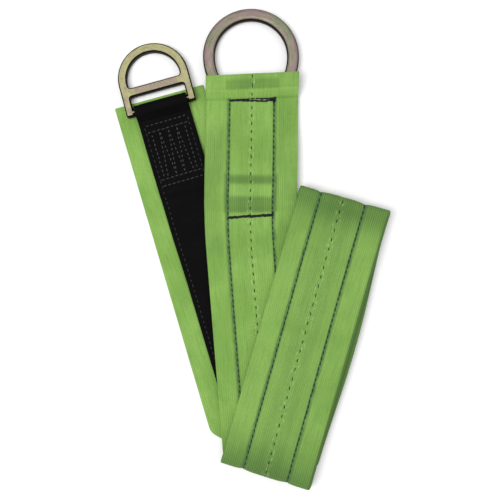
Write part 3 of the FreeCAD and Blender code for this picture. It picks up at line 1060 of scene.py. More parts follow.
def make_object(name: str, points: np.ndarray, faces: Sequence[Sequence[int]],
                materials: Sequence[bpy.types.Material], flat_from: int | None = None,
                picks: Sequence[int] | None = None) -> bpy.types.Object:
    """Blender object from points in millimetres.

    Args:
        name: the piece's name.
        points: the corners.
        faces: corners of each face.
        materials: what the piece is made of.
        flat_from: the first face that is shaded flat.
        picks: the material of each face, by number.

    Returns:
        The object, linked into the scene.
    """
    mesh = bpy.data.meshes.new(name)
    mesh.from_pydata((points * MM).tolist(), [], faces)
    for material in materials:
        mesh.materials.append(material)
    smooth_faces = np.ones(len(faces), bool)
    if flat_from is not None:
        smooth_faces[flat_from:] = False
    mesh.polygons.foreach_set("use_smooth", smooth_faces)
    if picks is not None:
        mesh.polygons.foreach_set("material_index", np.asarray(picks, np.int32))
    mesh.update()
    for face in mesh.polygons[flat_from:] if flat_from is not None else ():
        for loop in face.loop_indices:
            mesh.edges[mesh.loops[loop].edge_index].use_edge_sharp = True
    piece = bpy.data.objects.new(name, mesh)
    bpy.context.scene.collection.objects.link(piece)
    return piece


Relief = Callable[[np.ndarray, np.ndarray], np.ndarray]


def level(side: np.ndarray, along: np.ndarray) -> np.ndarray:
    """No relief at all."""
    return np.zeros_like(along)


def columns_at(reach: float, pitch: float, rows: Sequence[float]) -> np.ndarray:
    """Choose the places across a strap where its mesh has corners.

    Args:
        reach: the outermost place.
        pitch: about how far apart they are.
        rows: further places, close together beside the sewn rows.

    Returns:
        The places in order.
    """
    even = np.linspace(-reach, reach, int(2 * reach / pitch))
    places = np.unique(np.round(np.concatenate([even, rows]), 2))
    return places[np.concatenate([[True], np.diff(places) > LEAST_GAP])]


def tube_faces(rings: int, sides: int) -> np.ndarray:
    """List the faces of a tube.

    Args:
        rings: how many rings of points it has.
        sides: how many points a ring has.

    Returns:
        The four corners of each face.
    """
    corners = np.arange(rings * sides).reshape(rings, sides)
    following = np.roll(corners, -1, axis=1)
    quads = np.stack([corners[:-1], corners[1:], following[1:], following[:-1]], axis=-1)
    return quads.reshape(-1, 4)


@dataclass
class Strap:
    """One length of webbing along a path, with soft edges and a relief on its faces."""

    name: str
    line: Line
    half_width: float
    inner: float
    outer: float
    columns: np.ndarray
    drift: Callable[[np.ndarray], np.ndarray]
    dent: Relief
    lift: Relief = level
    shade: Relief = level
    carried: bool = False
    edge_steps: int = 7
    edge_soft: float = 1.6
    edge_thickness: float = 0.82

    def build(self, material: bpy.types.Material) -> bpy.types.Object:
        """Make the webbing.

        Args:
            material: its finish.

        Returns:
            The piece, a closed mesh with its weave map and shade.
        """
        line, sign = self.line, math.copysign(1.0, self.outer - self.inner)
        drift = self.drift(line.along)[:, None]
        offset = drift if self.carried else np.zeros_like(drift)
        along = np.broadcast_to(line.along[:, None], (len(line.along), len(self.columns)))
        side = np.broadcast_to(self.columns[None, :], along.shape)
        lift = self.lift(side, along)
        edge = smooth((self.half_width - np.abs(side)) / self.edge_soft)
        thin = abs(self.outer - self.inner) * (1 - self.edge_thickness) / 2 * (1 - edge) * sign
        top = self.outer + lift + sign * self.dent(side, along) - thin
        bottom = self.inner + lift + thin
        turns = np.linspace(0, math.pi, self.edge_steps + 2)[1:-1]
        bulge = abs(top[:, -1:] - bottom[:, -1:]) / 2
        right_mid, left_mid = (top[:, -1:] + bottom[:, -1:]) / 2, (top[:, :1] + bottom[:, :1]) / 2
        right = (side[:, -1:] + bulge * np.sin(turns), right_mid + sign * bulge * np.cos(turns))
        left = (side[:, :1] - bulge * np.sin(turns), left_mid - sign * bulge * np.cos(turns))
        sides = np.concatenate([side, right[0], side[:, ::-1], left[0]], axis=1)
        outs = np.concatenate([top, right[1], bottom[:, ::-1], left[1]], axis=1)
        points = (line.centre[:, None, :] + line.across[:, None, :] * (sides + offset)[..., None]
                  + line.normal[:, None, :] * outs[..., None])
        count, ring = sides.shape
        corners = np.arange(count * ring).reshape(count, ring)
        following = np.roll(corners, -1, axis=1)
        quads = np.stack([corners[:-1], following[:-1], following[1:], corners[1:]], axis=-1)
        quads = quads.reshape(-1, 4)
        points = points.reshape(-1, 3)
        ends = [corners[0][::-1].tolist(), corners[-1].tolist()]
        if solid_volume(points, quads) < 0:
            quads = quads[:, ::-1]
            ends = [end[::-1] for end in ends]
        faces = quads.tolist() + ends
        piece = make_object(self.name, points, faces, [material], flat_from=len(quads))
        sewn = sides if self.carried else sides - drift
        reached = np.broadcast_to(line.along[:, None], sewn.shape)
        self._map(piece.data, sewn.reshape(-1), reached.reshape(-1))
        shades = np.clip(self.shade(sewn, reached), -1, 2)
        attribute = piece.data.attributes.new(SHADE, "FLOAT", "POINT")
        attribute.data.foreach_set("value", shades.reshape(-1).astype(np.float32))
        return piece

    @staticmethod
    def _map(mesh: bpy.types.Mesh, across: np.ndarray, along: np.ndarray) -> None:
        """Store where each corner lies on the strap.

        Args:
            mesh: the strap's mesh.
            across: distance of each point from the sewn middle.
            along: distance of each point along the strap.
        """
        corners = np.empty(len(mesh.loops), np.int32)
        mesh.loops.foreach_get("vertex_index", corners)
        layer = mesh.uv_layers.new(name=WEAVE_MAP)
        places = np.stack([across, along], axis=1)[corners] * MM
        layer.data.foreach_set("uv", places.reshape(-1).astype(np.float32))


@dataclass
class StitchBatch:
    """Stitches gathered into one mesh."""

    points: list[np.ndarray] = field(default_factory=list)
    faces: list[list[int]] = field(default_factory=list)
    picks: list[int] = field(default_factory=list)
    count: int = 0

    def add(self, points: np.ndarray, faces: np.ndarray, pick: int = 0) -> None:
        """Add a mesh.

        Args:
            points: its corners.
            faces: the corners of each of its faces.
            pick: number of its material.
        """
        self.points.append(points)
        self.faces.extend((faces + self.count).tolist())
        self.picks.extend([pick] * len(faces))
        self.count += len(points)

    def build(self, name: str, materials: Sequence[bpy.types.Material]) -> bpy.types.Object:
        """Make the piece."""
        return make_object(name, np.concatenate(self.points), self.faces, materials,
                           picks=self.picks)


@dataclass(frozen=True)
class Stitch:
    """A stitch: a short length of thread that dips into the webbing at both ends."""

    length: float = 3.9
    width: float = 0.98
    height: float = 0.6
    slant: float = 7.0
    sink: float = 0.22
    end_size: float = 0.35
    turned: float = 4.0
    stray: float = 0.12
    rings: int = 7
    sides: int = 8

    def template(self) -> tuple[np.ndarray, np.ndarray]:
        """Make a stitch one unit long.

        Returns:
            Its points, each along, across and out, and its faces.
        """
        points = []
        for ring in range(self.rings):
            share = ring / (self.rings - 1)
            bow = math.sin(math.pi * share)
            size = self.end_size + (1 - self.end_size) * bow ** 0.6
            for side in range(self.sides):
                turn = 2 * math.pi * side / self.sides
                points.append((share - 0.5, math.cos(turn) * self.width / 2 * size,
                               math.sin(turn) * self.height / 2 * size
                               + self.height * 0.25 * bow - self.sink * (1 - bow)))
        return np.array(points), tube_faces(self.rings, self.sides)

    def lay(self, batch: StitchBatch, centre: np.ndarray, travel: np.ndarray, across: np.ndarray,
            normal: np.ndarray, chance: random.Random, pick: int = 0) -> None:
        """Lay stitches at the given places.

        Args:
            batch: the mesh that they join.
            centre: middle of each stitch, on the webbing's face.
            travel: unit vector along the row at each.
            across: unit vector across the row at each.
            normal: outward unit vector at each.
            chance: source of the small differences between stitches.
            pick: number of their material.
        """
        template, quads = self.template()
        total = len(centre)

        def each(low: float, high: float) -> np.ndarray:
            """A random number for each stitch, as a column."""
            return np.array([chance.uniform(low, high) for _ in range(total)])[:, None]

        slant = np.radians(self.slant + each(-self.turned, self.turned))
        length = self.length * each(0.88, 1.1)
        stray = each(-self.stray, self.stray)
        ahead = travel * np.cos(slant) + across * np.sin(slant)
        beside = across * np.cos(slant) - travel * np.sin(slant)
        centre = centre + across * stray
        points = (centre[:, None, :] + (ahead * length)[:, None, :] * template[None, :, :1]
                  + beside[:, None, :] * template[None, :, 1:2]
                  + normal[:, None, :] * template[None, :, 2:3])
        starts = (np.arange(total) * len(template))[:, None, None]
        batch.add(points.reshape(-1, 3), (quads[None] + starts).reshape(-1, 4), pick)


def lay_row(batch: StitchBatch, stitch: Stitch, line: Line, places: np.ndarray, side: np.ndarray,
            out: np.ndarray, chance: random.Random, pick: int = 0) -> None:
    """Lay a row of stitches on a strap.

    Args:
        batch: the mesh that they join.
        stitch: their form.
        line: path of the strap.
        places: distance along of each stitch.
        side: distance across of each.
        out: height of the webbing's face there; below zero on the web's face.
        chance: source of the small differences.
        pick: number of their material.
    """
    centre, across, normal = line.at(places)
    point = centre + across * side[:, None] + normal * out[:, None]
    reach = 0.5
    before, after = (line.at(places + shift)[0] for shift in (-reach, reach))
    before = np.where((places - reach < line.along[0])[:, None], centre, before)
    after = np.where((places + reach > line.along[-1])[:, None], centre, after)
    travel = after - before
    travel /= np.linalg.norm(travel, axis=1)[:, None]
    outward = normal * np.sign(out)[:, None]
    beside = np.cross(outward, travel)
    stitch.lay(batch, point, travel, beside / np.linalg.norm(beside, axis=1)[:, None], outward,
               chance, pick)


def tube(batch: StitchBatch, path: np.ndarray, radii: np.ndarray, sides: int = 8) -> None:
    """Add a thread of changing radius that follows a path.

    Args:
        batch: the mesh that it joins.
        path: points that it follows.
        radii: its radius at each.
        sides: corners of its section.
    """
    travel = np.gradient(path, axis=0)
    travel /= np.linalg.norm(travel, axis=1)[:, None]
    beside = np.cross(travel, UP)
    beside /= np.linalg.norm(beside, axis=1)[:, None]
    above = np.cross(beside, travel)
    turns = np.linspace(0, 2 * math.pi, sides, endpoint=False)
    points = (path[:, None, :] + beside[:, None, :] * (np.cos(turns)[None, :, None]
                                                        * radii[:, None, None])
              + above[:, None, :] * (np.sin(turns)[None, :, None] * radii[:, None, None]))
    batch.add(points.reshape(-1, 3), tube_faces(len(path), sides))


# ---- the sling's own pieces ---------------------------------------------------------------
def settle(piece: bpy.types.Object, body: Body | None, nodes: Sequence[str],
           route: Route) -> None:
    """Give a finished piece its body and the nodes that it stands for.

    Args:
        piece: the finished piece.
        body: what it rides on; None leaves it on no body, at its place in the world.
        nodes: the model's nodes that it stands for.
        route: where the fold lies.
    """
    if body is None:
        x, y, _ = route.outer[0].centre * MM
        # from the folded run down, so that a half turn opens the fold the way it really goes
        route.top_level * MM
        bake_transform(piece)
    else:
        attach(piece, body.value)
    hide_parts(*nodes)
    log.info("%s: %d faces, stands for %s", piece.name, len(piece.data.polygons), ", ".join(nodes))


@dataclass
class WearPad:
    """The wide green pad, sewn over the web for its whole length."""

    route: Route
    weave: PadWeave = field(default_factory=PadWeave)
    edge_row: float = EDGE_ROW
    edge_inset: float = 0.8
    column_pitch: float = 1.9
    outer_drop: float = 0.40
    drop_start: float = 21.0
    ripple: tuple[float, float] = (0.14, 11.0)
    swell: tuple[float, float] = (0.10, 23.0)
    corner_lift: float = 0.9
    bulge: float = 0.6
    bulge_reach: float = 6.5
    lip: float = 2.4
    lip_start: float = 35.2
    lip_width: float = 2.4
    quiet: tuple[float, float] = (4.0, 16.0)
    stitch_pitch: float = EDGE_PITCH
    groove: float = 0.45
    groove_width: float = 1.35
    groove_past_row: float = 0.6
    middle_groove: tuple[float, float] = (0.18, 0.9)
    puff: float = 0.16
    pressed: tuple[Mark, ...] = (Mark(88.0, 92.0, 4.5, 0.55), Mark(114.0, 118.0, 3.0, 0.2))
    hem: Mark = Mark(3.6, 4.0, 0.8, 0.15)
    # darker, more ribbed bands between the rows over the bar and where the tail ends, and beside the
    # rows there
    dark_bands: tuple[Mark, ...] = (Mark(6.0, 10.0, 3.0, 0.6), Mark(88.5, 91.5, 4.0, 1.05),
                                    Mark(106.0, 115.0, 4.0, 0.95))
    dark_margins: tuple[Mark, Mark] = (Mark(19.3, 21.0, 1.6, 0.85), Mark(87.0, 114.0, 4.0, 1.0))
    # painted light on the ramp behind the bar
    lit_ramp: Mark = Mark(12.2, 18.6, 1.4, 0.8)
    open_left: Mark = Mark(60.0, 140.0, 20.0, 0.4)
    # painted shade at the folds
    fold_shade: float = 1.15
    fold_reaches: tuple[float, float, float] = (16.0, 21.0, 24.0)
    # strength of the painted shadow on the hidden run's right strip and painted shade on the top
    # run's rolled-down right edge
    edge_shadow: float = 2.0
    hidden_edge: float = 32.5
    # painted shade on the large run's right margin
    right_shade: float = 0.25
    # painted shade over the top run, more between its rows
    run_shade: tuple[float, float] = (0.22, 0.16)

    def columns(self) -> np.ndarray:
        """Choose where the pad's mesh has corners, closer at the rows and the edges.

        Returns:
            The places across it.
        """
        reach = self.route.webbing.pad_width / 2 - self.edge_inset
        rows = [row + step for row in (-19.2, -1.0, 18.0) for step in np.arange(-3.0, 3.1, 0.5)]
        edges = [side * (reach - step) for side in (-1, 1) for step in (0.4, 0.9)]
        return columns_at(reach, self.column_pitch, rows + edges)

    def lift(self, side: np.ndarray, along: np.ndarray) -> np.ndarray:
        """Shape both faces: the pad droops past the web, lies in low waves and bulges at folds.

        Args:
            side: places across the pad.
            along: places along it.

        Returns:
            How far both faces move outwards at each.
        """
        sewn = side - self.route.drift(along)
        share = (np.abs(side) / (self.route.webbing.pad_width / 2)) ** 2
        droop = -self.outer_drop * smooth((np.abs(sewn) - self.drop_start) / 5.0)
        (ripple, ripple_length), (swell, swell_length) = self.ripple, self.swell
        wave = ripple * np.sin(along / ripple_length + np.sign(side) * 0.7) * share
        wave += swell * np.sin(along / swell_length + side / 16.0) * share
        corner = np.exp(-along / 9.0) * smooth((side - 14.0) / 24.0) * self.corner_lift
        rows = np.exp(-((np.abs(sewn) - self.edge_row) / 4.5) ** 2)
        turned = sum(np.exp(-((along - middle) / self.bulge_reach) ** 2)
                     for middle in self.route.folds[1:])
        bulge = turned * self.bulge * (1 - rows)
        return ((droop + wave) * self._away_from_folds(along) + corner + bulge
                - self._lip(side, along))

    def _lip(self, side: np.ndarray, along: np.ndarray) -> np.ndarray:
        """Roll down the right edge of the top run.

        Args:
            side: places across the pad.
            along: places along it.

        Returns:
            How far each is lowered.
        """
        _, top, outer = self.route.folds
        run = smooth((along - top) / 12.0) * smooth((outer - along) / 16.0)
        return self.lip * run * smooth((side - self.lip_start) / self.lip_width)

    def _away_from_folds(self, along: np.ndarray) -> np.ndarray:
        """Tell the runs from the folds.

        Args:
            along: places along the pad.

        Returns:
            1 on the runs, 0 where the strap turns over.
        """
        (start, reach), share = self.quiet, np.ones_like(along)
        for middle in self.route.folds:
            share = share * smooth((np.abs(along - middle) - start) / reach)
        return share

    def dent(self, side: np.ndarray, along: np.ndarray) -> np.ndarray:
        """Shape the outer face: rows pull it in, it puffs up between them and tails press it.

        Args:
            side: places across the pad.
            along: places along it.

        Returns:
            How far the outer face stands out at each.
        """
        sewn = side - self.route.drift(along)
        started = smooth((along - self.route.large_box[0] + 1.0) / 2.0)
        pull = self.groove * (1 + 0.25 * np.cos(2 * math.pi * along / self.stitch_pitch))
        past_row = np.abs(sewn) - self.edge_row - self.groove_past_row
        row = np.exp(-(past_row / self.groove_width) ** 2)
        depth, width = self.middle_groove
        middle = np.exp(-(sewn / width) ** 2) * depth
        puffed = self.puff * np.clip(1 - (sewn / self.edge_row) ** 2, 0, 1)
        inside = smooth((self.edge_row + 0.5 - np.abs(sewn)) / 2.5)
        pressed = sum(mark.at(along) for mark in self.pressed)
        return puffed - row * pull * started - middle - inside * pressed - self.hem.at(along)

    def shade(self, sewn: np.ndarray, along: np.ndarray) -> np.ndarray:
        """Paint shade at folds, top run and edge strips, and light on the ramp; darken bands over the
        bar and tail end.

        Args:
            sewn: places across the pad from its sewn middle.
            along: places along it.

        Returns:
            How open the ribs are at each; below 0 where the pad is lit.
        """
        inside = smooth((22.6 - np.abs(sewn)) / 2.0)
        # darker, more ribbed bands and margins near the bar and the tail's end
        bands = sum(mark.at(along) for mark in self.dark_bands)
        across, lengthwise = self.dark_margins
        margins = across.at(np.abs(sewn)) * lengthwise.at(along)
        # painted light on the ramp behind the bar takes the total below 0
        total = np.maximum(bands * inside, margins) - self.lit_ramp.at(along)
        inner, top, outer = self.route.folds
        # painted shade at each fold
        for middle, reach in zip(self.route.folds, self.fold_reaches):
            total = total + np.exp(-(np.abs(along - middle) / reach) ** 2) * self.fold_shade
        side = sewn + self.route.drift(along)
        # painted shadow on the hidden run's strip that shows at the top run's right edge
        hidden = smooth((along - inner) / 12.0) * smooth((top - along) / 8.0)
        total = total + hidden * self.edge_shadow * smooth((side - self.hidden_edge) / 1.5)
        # painted shade on the large run's right margin
        right = smooth((sewn - 20.0) / 4.0) * smooth((inner - along) / 30.0)
        total = total + self.right_shade * right
        # painted shade over the top run, and on its rolled-down right edge
        run = smooth((along - top) / 12.0) * smooth((outer - along) / 12.0)
        whole, between_rows = self.run_shade
        total = total + run * (whole + between_rows * smooth((20.0 - np.abs(sewn)) / 4.0))
        total = total + run * self.edge_shadow * smooth((side - self.lip_start) / 0.8)
        return total + smooth((-22.0 - sewn) / 4.0) * self.open_left.at(along)

    def build(self) -> None:
        """Make the pad in three pieces and settle each on its body."""
        r, w = self.route, self.route.webbing
        material = self.weave.material(r.strap_distance(r.small_box[0]))
        for part, (line, body) in r.parts(r.pad_folded, r.pad_small).items():
            strap = Strap(f"green_pad_{part}", line, w.pad_width / 2, w.half_gap, w.pad_face,
                          self.columns(), r.drift, self.dent, self.lift, self.shade)
            piece = strap.build(material)
            settle(piece, body, [f"wear_pad_{part}"], r)
            line.length * MM


@dataclass
class LoadWeb:
    """The black web on the pad's back, folded back round a ring's bar at each end."""

    route: Route
    weave: WebWeave = field(default_factory=WebWeave)
    edge_row: float = EDGE_ROW
    edge_inset: float = 0.9
    groove: float = 0.28
    groove_width: float = 1.1
    cross_groove: float = 0.3
    cross_width: float = 1.2
    column_pitch: float = 1.7

    def columns(self) -> np.ndarray:
        """Choose where the web's mesh has corners, closer at the rows.

        Returns:
            The places across it.
        """
        reach = self.route.webbing.web_width / 2 - self.edge_inset
        rows = [row + step for row in (-self.edge_row, self.edge_row)
                for step in np.arange(-2.0, 2.1, 0.5)]
        return columns_at(reach, self.column_pitch, rows)

    def dent(self, side: np.ndarray, along: np.ndarray) -> np.ndarray:
        """Pull the outer face in, along the edges and across the small end's box.

        Args:
            side: places across the web.
            along: places along it.

        Returns:
            How far the outer face stands out at each, which is never above 0.
        """
        row = np.exp(-((np.abs(side) - self.edge_row) / self.groove_width) ** 2)
        total = -self.groove * row
        for place in self.route.small_box:
            past = along - self.route.strap_distance(place)
            total = total - self.cross_groove * np.exp(-(past / self.cross_width) ** 2)
        return total

    def build(self) -> None:
        """Make the web in three pieces and settle each on its body."""
        r, w, material = self.route, self.route.webbing, self.weave.material()
        for part, (line, body) in r.parts(r.web_folded, r.web_small).items():
            strap = Strap(f"black_web_{part}", line, w.web_width / 2, -w.half_gap, -w.web_face,
                          self.columns(), r.drift, self.dent, carried=True)
            piece = strap.build(material)
            settle(piece, body, [f"load_web_{part}"], r)
            line.length * MM


@dataclass
class LongSeams:
    """The two edge seams, on both faces, and the centre seam, on the pad's face."""

    route: Route
    pad: WearPad
    web: LoadWeb
    on_pad: bpy.types.Material
    on_web: bpy.types.Material
    edge_row: float = EDGE_ROW
    edge_pitch: float = EDGE_PITCH
    web_rows_wait: float = 24.0
    pad_rows_stop: float = 4.5
    centre_end: tuple[float, float, float] = (-1.2, 330.0, 6.9)
    centre_top: tuple[float, float] = (540.0, 7.9)
    centre_fold_pitch: float = 6.6
    edge_seed: int = 11
    centre_seed: int = 5
    stitch: Stitch = field(default_factory=Stitch)
    centre_stitch: Stitch = field(default_factory=lambda: Stitch(length=3.7, width=0.85,
                                                                 slant=2.0))
    web_stitch: Stitch = field(default_factory=lambda: Stitch(length=3.1, width=0.9, height=0.5,
                                                              slant=4.0))

    def places(self, start: float, end: float, pitch: float) -> np.ndarray:
        """Space a row evenly, half a step from each end, so that rows join up.

        Args:
            start: where it starts.
            end: where it ends.
            pitch: about how far apart the places are.

        Returns:
            The places.
        """
        count = max(1, round((end - start) / pitch))
        return start + (np.arange(count) + 0.5) * (end - start) / count

    def row(self, batch: StitchBatch, face: Face, line: Line, start: float, end: float,
            side: float, pitch: float, stitch: Stitch, chance: random.Random) -> None:
        """Add a row of stitches that lies in the webbing's own relief.

        Args:
            batch: the mesh that they join.
            face: which face they lie on.
            line: path of the strap.
            start: first distance along.
            end: last distance along.
            side: distance from the sewn middle.
            pitch: from stitch to stitch.
            stitch: their form.
            chance: source of the small differences.
        """
        places = self.places(start, end, pitch)
        sides = side + self.route.drift(places)
        w = self.route.webbing
        if face is Face.PAD:
            relief = self.pad.lift(sides, places) + self.pad.dent(sides, places)
            out, pick = w.pad_face + relief, 0
        else:
            relief = self.web.dent(np.full_like(places, side), places)
            out, pick = -w.web_face - relief, 1
        lay_row(batch, stitch, line, places, sides, out, chance, pick)

    def build(self) -> None:
        """Make every long seam, one piece for each node."""
        r, materials = self.route, [self.on_pad, self.on_web]
        fold_start, fold_end = float(r.fold_line.along[0]), float(r.fold_line.along[-1])
        clear_end = fold_end - self.pad_rows_stop
        lifted = r.large_box[0] + self.web_rows_wait
        web_end = r.strap_distance(r.small_box[0])
        for number, (name, side) in enumerate((("left", -self.edge_row),
                                               ("right", self.edge_row))):
            chance = random.Random(self.edge_seed + number)
            parts = {
                "folded_run": (Body.FOLDED, [
                    (Face.PAD, r.pad_folded, r.large_box[0], fold_start),
                    (Face.WEB, r.web_folded, lifted, fold_start)]),
                "outer_fold": (None, [(Face.PAD, r.fold_line, fold_start, clear_end),
                                      (Face.WEB, r.fold_line, fold_start, fold_end)]),
                "small_ring_run": (Body.SMALL_RUN, [(Face.WEB, r.web_small, fold_end, web_end)]),
            }
            for part, (body, rows) in parts.items():
                batch = StitchBatch()
                for face, line, start, end in rows:
                    stitch = self.stitch if face is Face.PAD else self.web_stitch
                    self.row(batch, face, line, start, end, side, self.edge_pitch, stitch, chance)
                piece = batch.build(f"stitches_{name}_{part}", materials)
                settle(piece, body, [f"edge_seam_{name}_{part}"], r)
        self._centre(fold_start, clear_end)

    def _centre(self, fold_start: float, clear_end: float) -> None:
        """Make the centre seam, whose stitches are further apart on the top run.

        Args:
            fold_start: distance along the pad where the outer fold starts.
            clear_end: where its stitches stop, short of the floor.
        """
        r, chance = self.route, random.Random(self.centre_seed)
        top_start, top_pitch = self.centre_top
        folded = (self.centre_end, (top_start, fold_start, top_pitch))
        turned = ((fold_start, clear_end, self.centre_fold_pitch),)
        spans = {"folded_run": (Body.FOLDED, r.pad_folded, folded),
                 "outer_fold": (None, r.fold_line, turned)}
        for part, (body, line, rows) in spans.items():
            batch = StitchBatch()
            for start, end, pitch in rows:
                self.row(batch, Face.PAD, line, start, end, 0.0, pitch, self.centre_stitch, chance)
            piece = batch.build(f"stitches_centre_{part}", [self.on_pad])
            settle(piece, body, [f"centre_seam_{part}"], r)


@dataclass
class BarSeams:
    """Two thick rows across the large ring's end, each of two strands side by side."""

    route: Route
    thread: bpy.types.Material
    half: float = 18.6
    radius: float = 0.88
    ahead: float = 0.8
    steps: int = 60
    knot_radius: float = 0.5
    knot_turns: float = 1.6
    end_length: float = 3.0
    end_radii: tuple[float, float] = (0.6, 0.42)

    def strand(self, batch: StitchBatch, along: float, level: float, tilt: float,
               shift: Callable[[np.ndarray], np.ndarray], seed: int) -> None:
        """One strand across the run, at a distance along it.

        Args:
            batch: the mesh that it joins.
            along: distance from the pad's cut end.
            level: height of the pad's face.
            tilt: how much further along its right end lies.
            shift: how far it strays along the run, at each share of its length.
            seed: sets its small unevenness.
        """
        chance = random.Random(seed)
        phases = [chance.uniform(0, 6.3) for _ in range(3)]
        share = np.linspace(0, 1, self.steps)
        side = -self.half + 2 * self.half * share
        stray = 0.16 * np.sin(share * 17 + phases[0]) + 0.10 * np.sin(share * 41 + phases[1])
        place = along + tilt * (share - 0.5) + shift(share) + stray
        ends = smooth(np.minimum(share, 1 - share) * 22)
        stations = [self.route.large.station(float(p), level, 0.0) for p in place]
        path = np.array([s.centre + s.across * x + s.normal * (0.25 + 0.12 * math.sin(x * 1.9)
                                                             - 0.9 * (1 - e))
                         for s, x, e in zip(stations, side, ends)])
        radii = self.radius * (0.86 + 0.14 * np.sin(share * 60 + phases[2])) * (0.55 + 0.45 * ends)
        tube(batch, path, radii)

    def knot(self, batch: StitchBatch, along: float, level: float, side: float) -> None:
        """Tie a small knot at the end of a row.

        Args:
            batch: the mesh that it joins.
            along: distance from the pad's cut end.
            level: height of the pad's face.
            side: distance across the run.
        """
        turns = np.linspace(0, 2 * math.pi * self.knot_turns, 40)
        spread = np.stack([1.7 * np.sin(turns) + 0.3, 0.8 * np.cos(turns * 1.3)], axis=1)
        path = []
        for turn, (ahead, beside) in zip(turns, spread):
            station = self.route.large.station(along + ahead, level, 0.0)
            path.append(station.centre + station.across * (side + beside)
                        + station.normal * (0.55 + 0.25 * math.sin(turn * 2)))
        tube(batch, np.array(path), np.full(len(path), self.knot_radius))

    def strand_end(self, batch: StitchBatch, along: float, level: float) -> None:
        """Leave a short thread end that turns up at the right of a row.

        Args:
            batch: the mesh that it joins.
            along: distance from the pad's cut end.
            level: height of the pad's face.
        """
        path = []
        for share in np.linspace(0, 1, 14):
            station = self.route.large.station(along - self.end_length * share, level, 0.0)
            path.append(station.centre + station.across * (self.half - 0.6 + 0.5 * share)
                        + station.normal * (0.2 + 0.35 * math.sin(math.pi * share)))
        tube(batch, np.array(path), np.linspace(*self.end_radii, len(path)))

    def build(self) -> None:
        """Make both rows; the upper one's two strands part near its middle."""
        w, first, last = self.route.webbing, *self.route.large_box
        upper = self.route.ground_level + w.tail_lift + w.pad_face
        lower = self.route.ground_level + w.pad_face
        batch = StitchBatch()
        first -= self.ahead
        self.strand(batch, first, upper, 0.2, lambda s: -0.45 - 0.75 * np.sin(np.pi * s) ** 2, 3)
        self.strand(batch, first, upper, 0.9, lambda s: 0.40 + 0.55 * smooth((s - 0.25) / 0.4)
                    - 0.5 * smooth((s - 0.8) / 0.2), 4)
        self.knot(batch, first + 0.4, upper, self.half - 0.2)
        settle(batch.build("thick_row_upper", [self.thread]), Body.FOLDED,
               ["bar_seam_upper"], self.route)
        batch = StitchBatch()
        self.strand(batch, last, lower, -1.9, lambda s: -0.35 - 0.2 * np.sin(np.pi * s * 2), 5)
        self.strand(batch, last, lower, -1.7, lambda s: 0.35 - 0.2 * np.sin(np.pi * s * 2), 6)
        self.strand_end(batch, last - 0.2, lower)
        settle(batch.build("thick_row_lower", [self.thread]), Body.FOLDED,
               ["bar_seam_lower"], self.route)


@dataclass
class SmallEndSeams:
    """The box of rows that closes the web's loop round the small ring's bar."""

    route: Route
    thread: bpy.types.Material
    side_row: float = 14.2
    box_half: float = 17.7
    legs: int = 6
    zigzag_half: float = 11.0
    stitch: Stitch = field(default_factory=lambda: Stitch(length=3.0, width=0.95, height=0.6,
                                                          slant=3.0, sink=0.3))
    pitch: float = 3.7
    seed: int = 21
    sunk: float = 0.1
    side_gap: float = 1.5
    zigzag_gap: float = 1.2

    def line_of(self, batch: StitchBatch, start: tuple[float, float], end: tuple[float, float],
                chance: random.Random) -> None:
        """Lay a row of stitches between two places on the small end's upper face.

        Args:
            batch: the mesh that they join.
            start: distance along the run and across it.
            end: the same for the row's other end.
            chance: source of the small differences.
        """
        w, level = self.route.webbing, self.route.small_level
        face = level + w.tail_lift + w.web_face - self.sunk
        ends = []
        for along, side in (start, end):
            station = self.route.small.station(along, face, 0.0)
            ends.append(station.centre + station.across * side)
        reach = ends[1] - ends[0]
        length = float(np.linalg.norm(reach))
        count = max(1, int(length / self.pitch))
        shares = (np.arange(count) + 0.5) / count
        travel = np.tile(reach / length, (count, 1))
        normal = np.tile(UP, (count, 1))
        self.stitch.lay(batch, ends[0] + reach * shares[:, None], travel,
                        np.cross(normal, travel), normal, chance)

    def build(self) -> None:
        """Make the rows across, the rows along the sides and the zigzag between them."""
        rows, chance = self.route.small_box, random.Random(self.seed)
        across, sides, zigzag = StitchBatch(), StitchBatch(), StitchBatch()
        for row in rows:
            self.line_of(across, (row, -self.box_half), (row, self.box_half), chance)
        for side in (-self.side_row, self.side_row):
            self.line_of(sides, (rows[1] + self.side_gap, side), (rows[2] - self.side_gap, side),
                         chance)
        width = 2 * self.zigzag_half / self.legs
        low, high = rows[1] + self.zigzag_gap, rows[2] - self.zigzag_gap
        for leg in range(self.legs):
            left = -self.zigzag_half + width * leg
            first, last = (low, high) if leg % 2 else (high, low)
            self.line_of(zigzag, (first, left), (last, left + width), chance)
        for batch, name, node in ((across, "box_rows_across", "small_end_cross_seams"),
                                  (sides, "box_rows_along", "small_end_side_seams"),
                                  (zigzag, "box_zigzag", "small_end_zigzag_seam")):
            settle(batch.build(name, [self.thread]), Body.SMALL_RUN, [node],
                   self.route)


@dataclass
class Rings:
    """The two plated rings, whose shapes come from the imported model."""

    large: Plating = field(default_factory=lambda: Plating(
        name="plating_large_ring", joint="large_ring_swing", arch_height=23.6,
        base=(0.300, 0.222, 0.205), second=(0.225, 0.245, 0.150), third=(0.40, 0.36, 0.17),
        clear=(0.44, 0.66), flats=(0.60, 0.86)))
    small: Plating = field(default_factory=lambda: Plating(
        name="plating_small_ring", joint="small_ring_swing", arch_height=23.63,
        base=(0.42, 0.395, 0.200), second=(0.325, 0.245, 0.200), third=(0.47, 0.50, 0.24),
        clear=(0.50, 0.70), flats=(0.965, 0.9993), second_bar=(12.9, 20.2, 16.0)))

    def build(self) -> None:
        """Plate each ring."""
        for node, plating in (("large_ring", self.large), ("small_d_ring", self.small)):
            ring = frame["nodes"][node]
            ring.data.materials.clear()
            ring.data.materials.append(plating.material(ring))
            log.info("%s: plated", node)


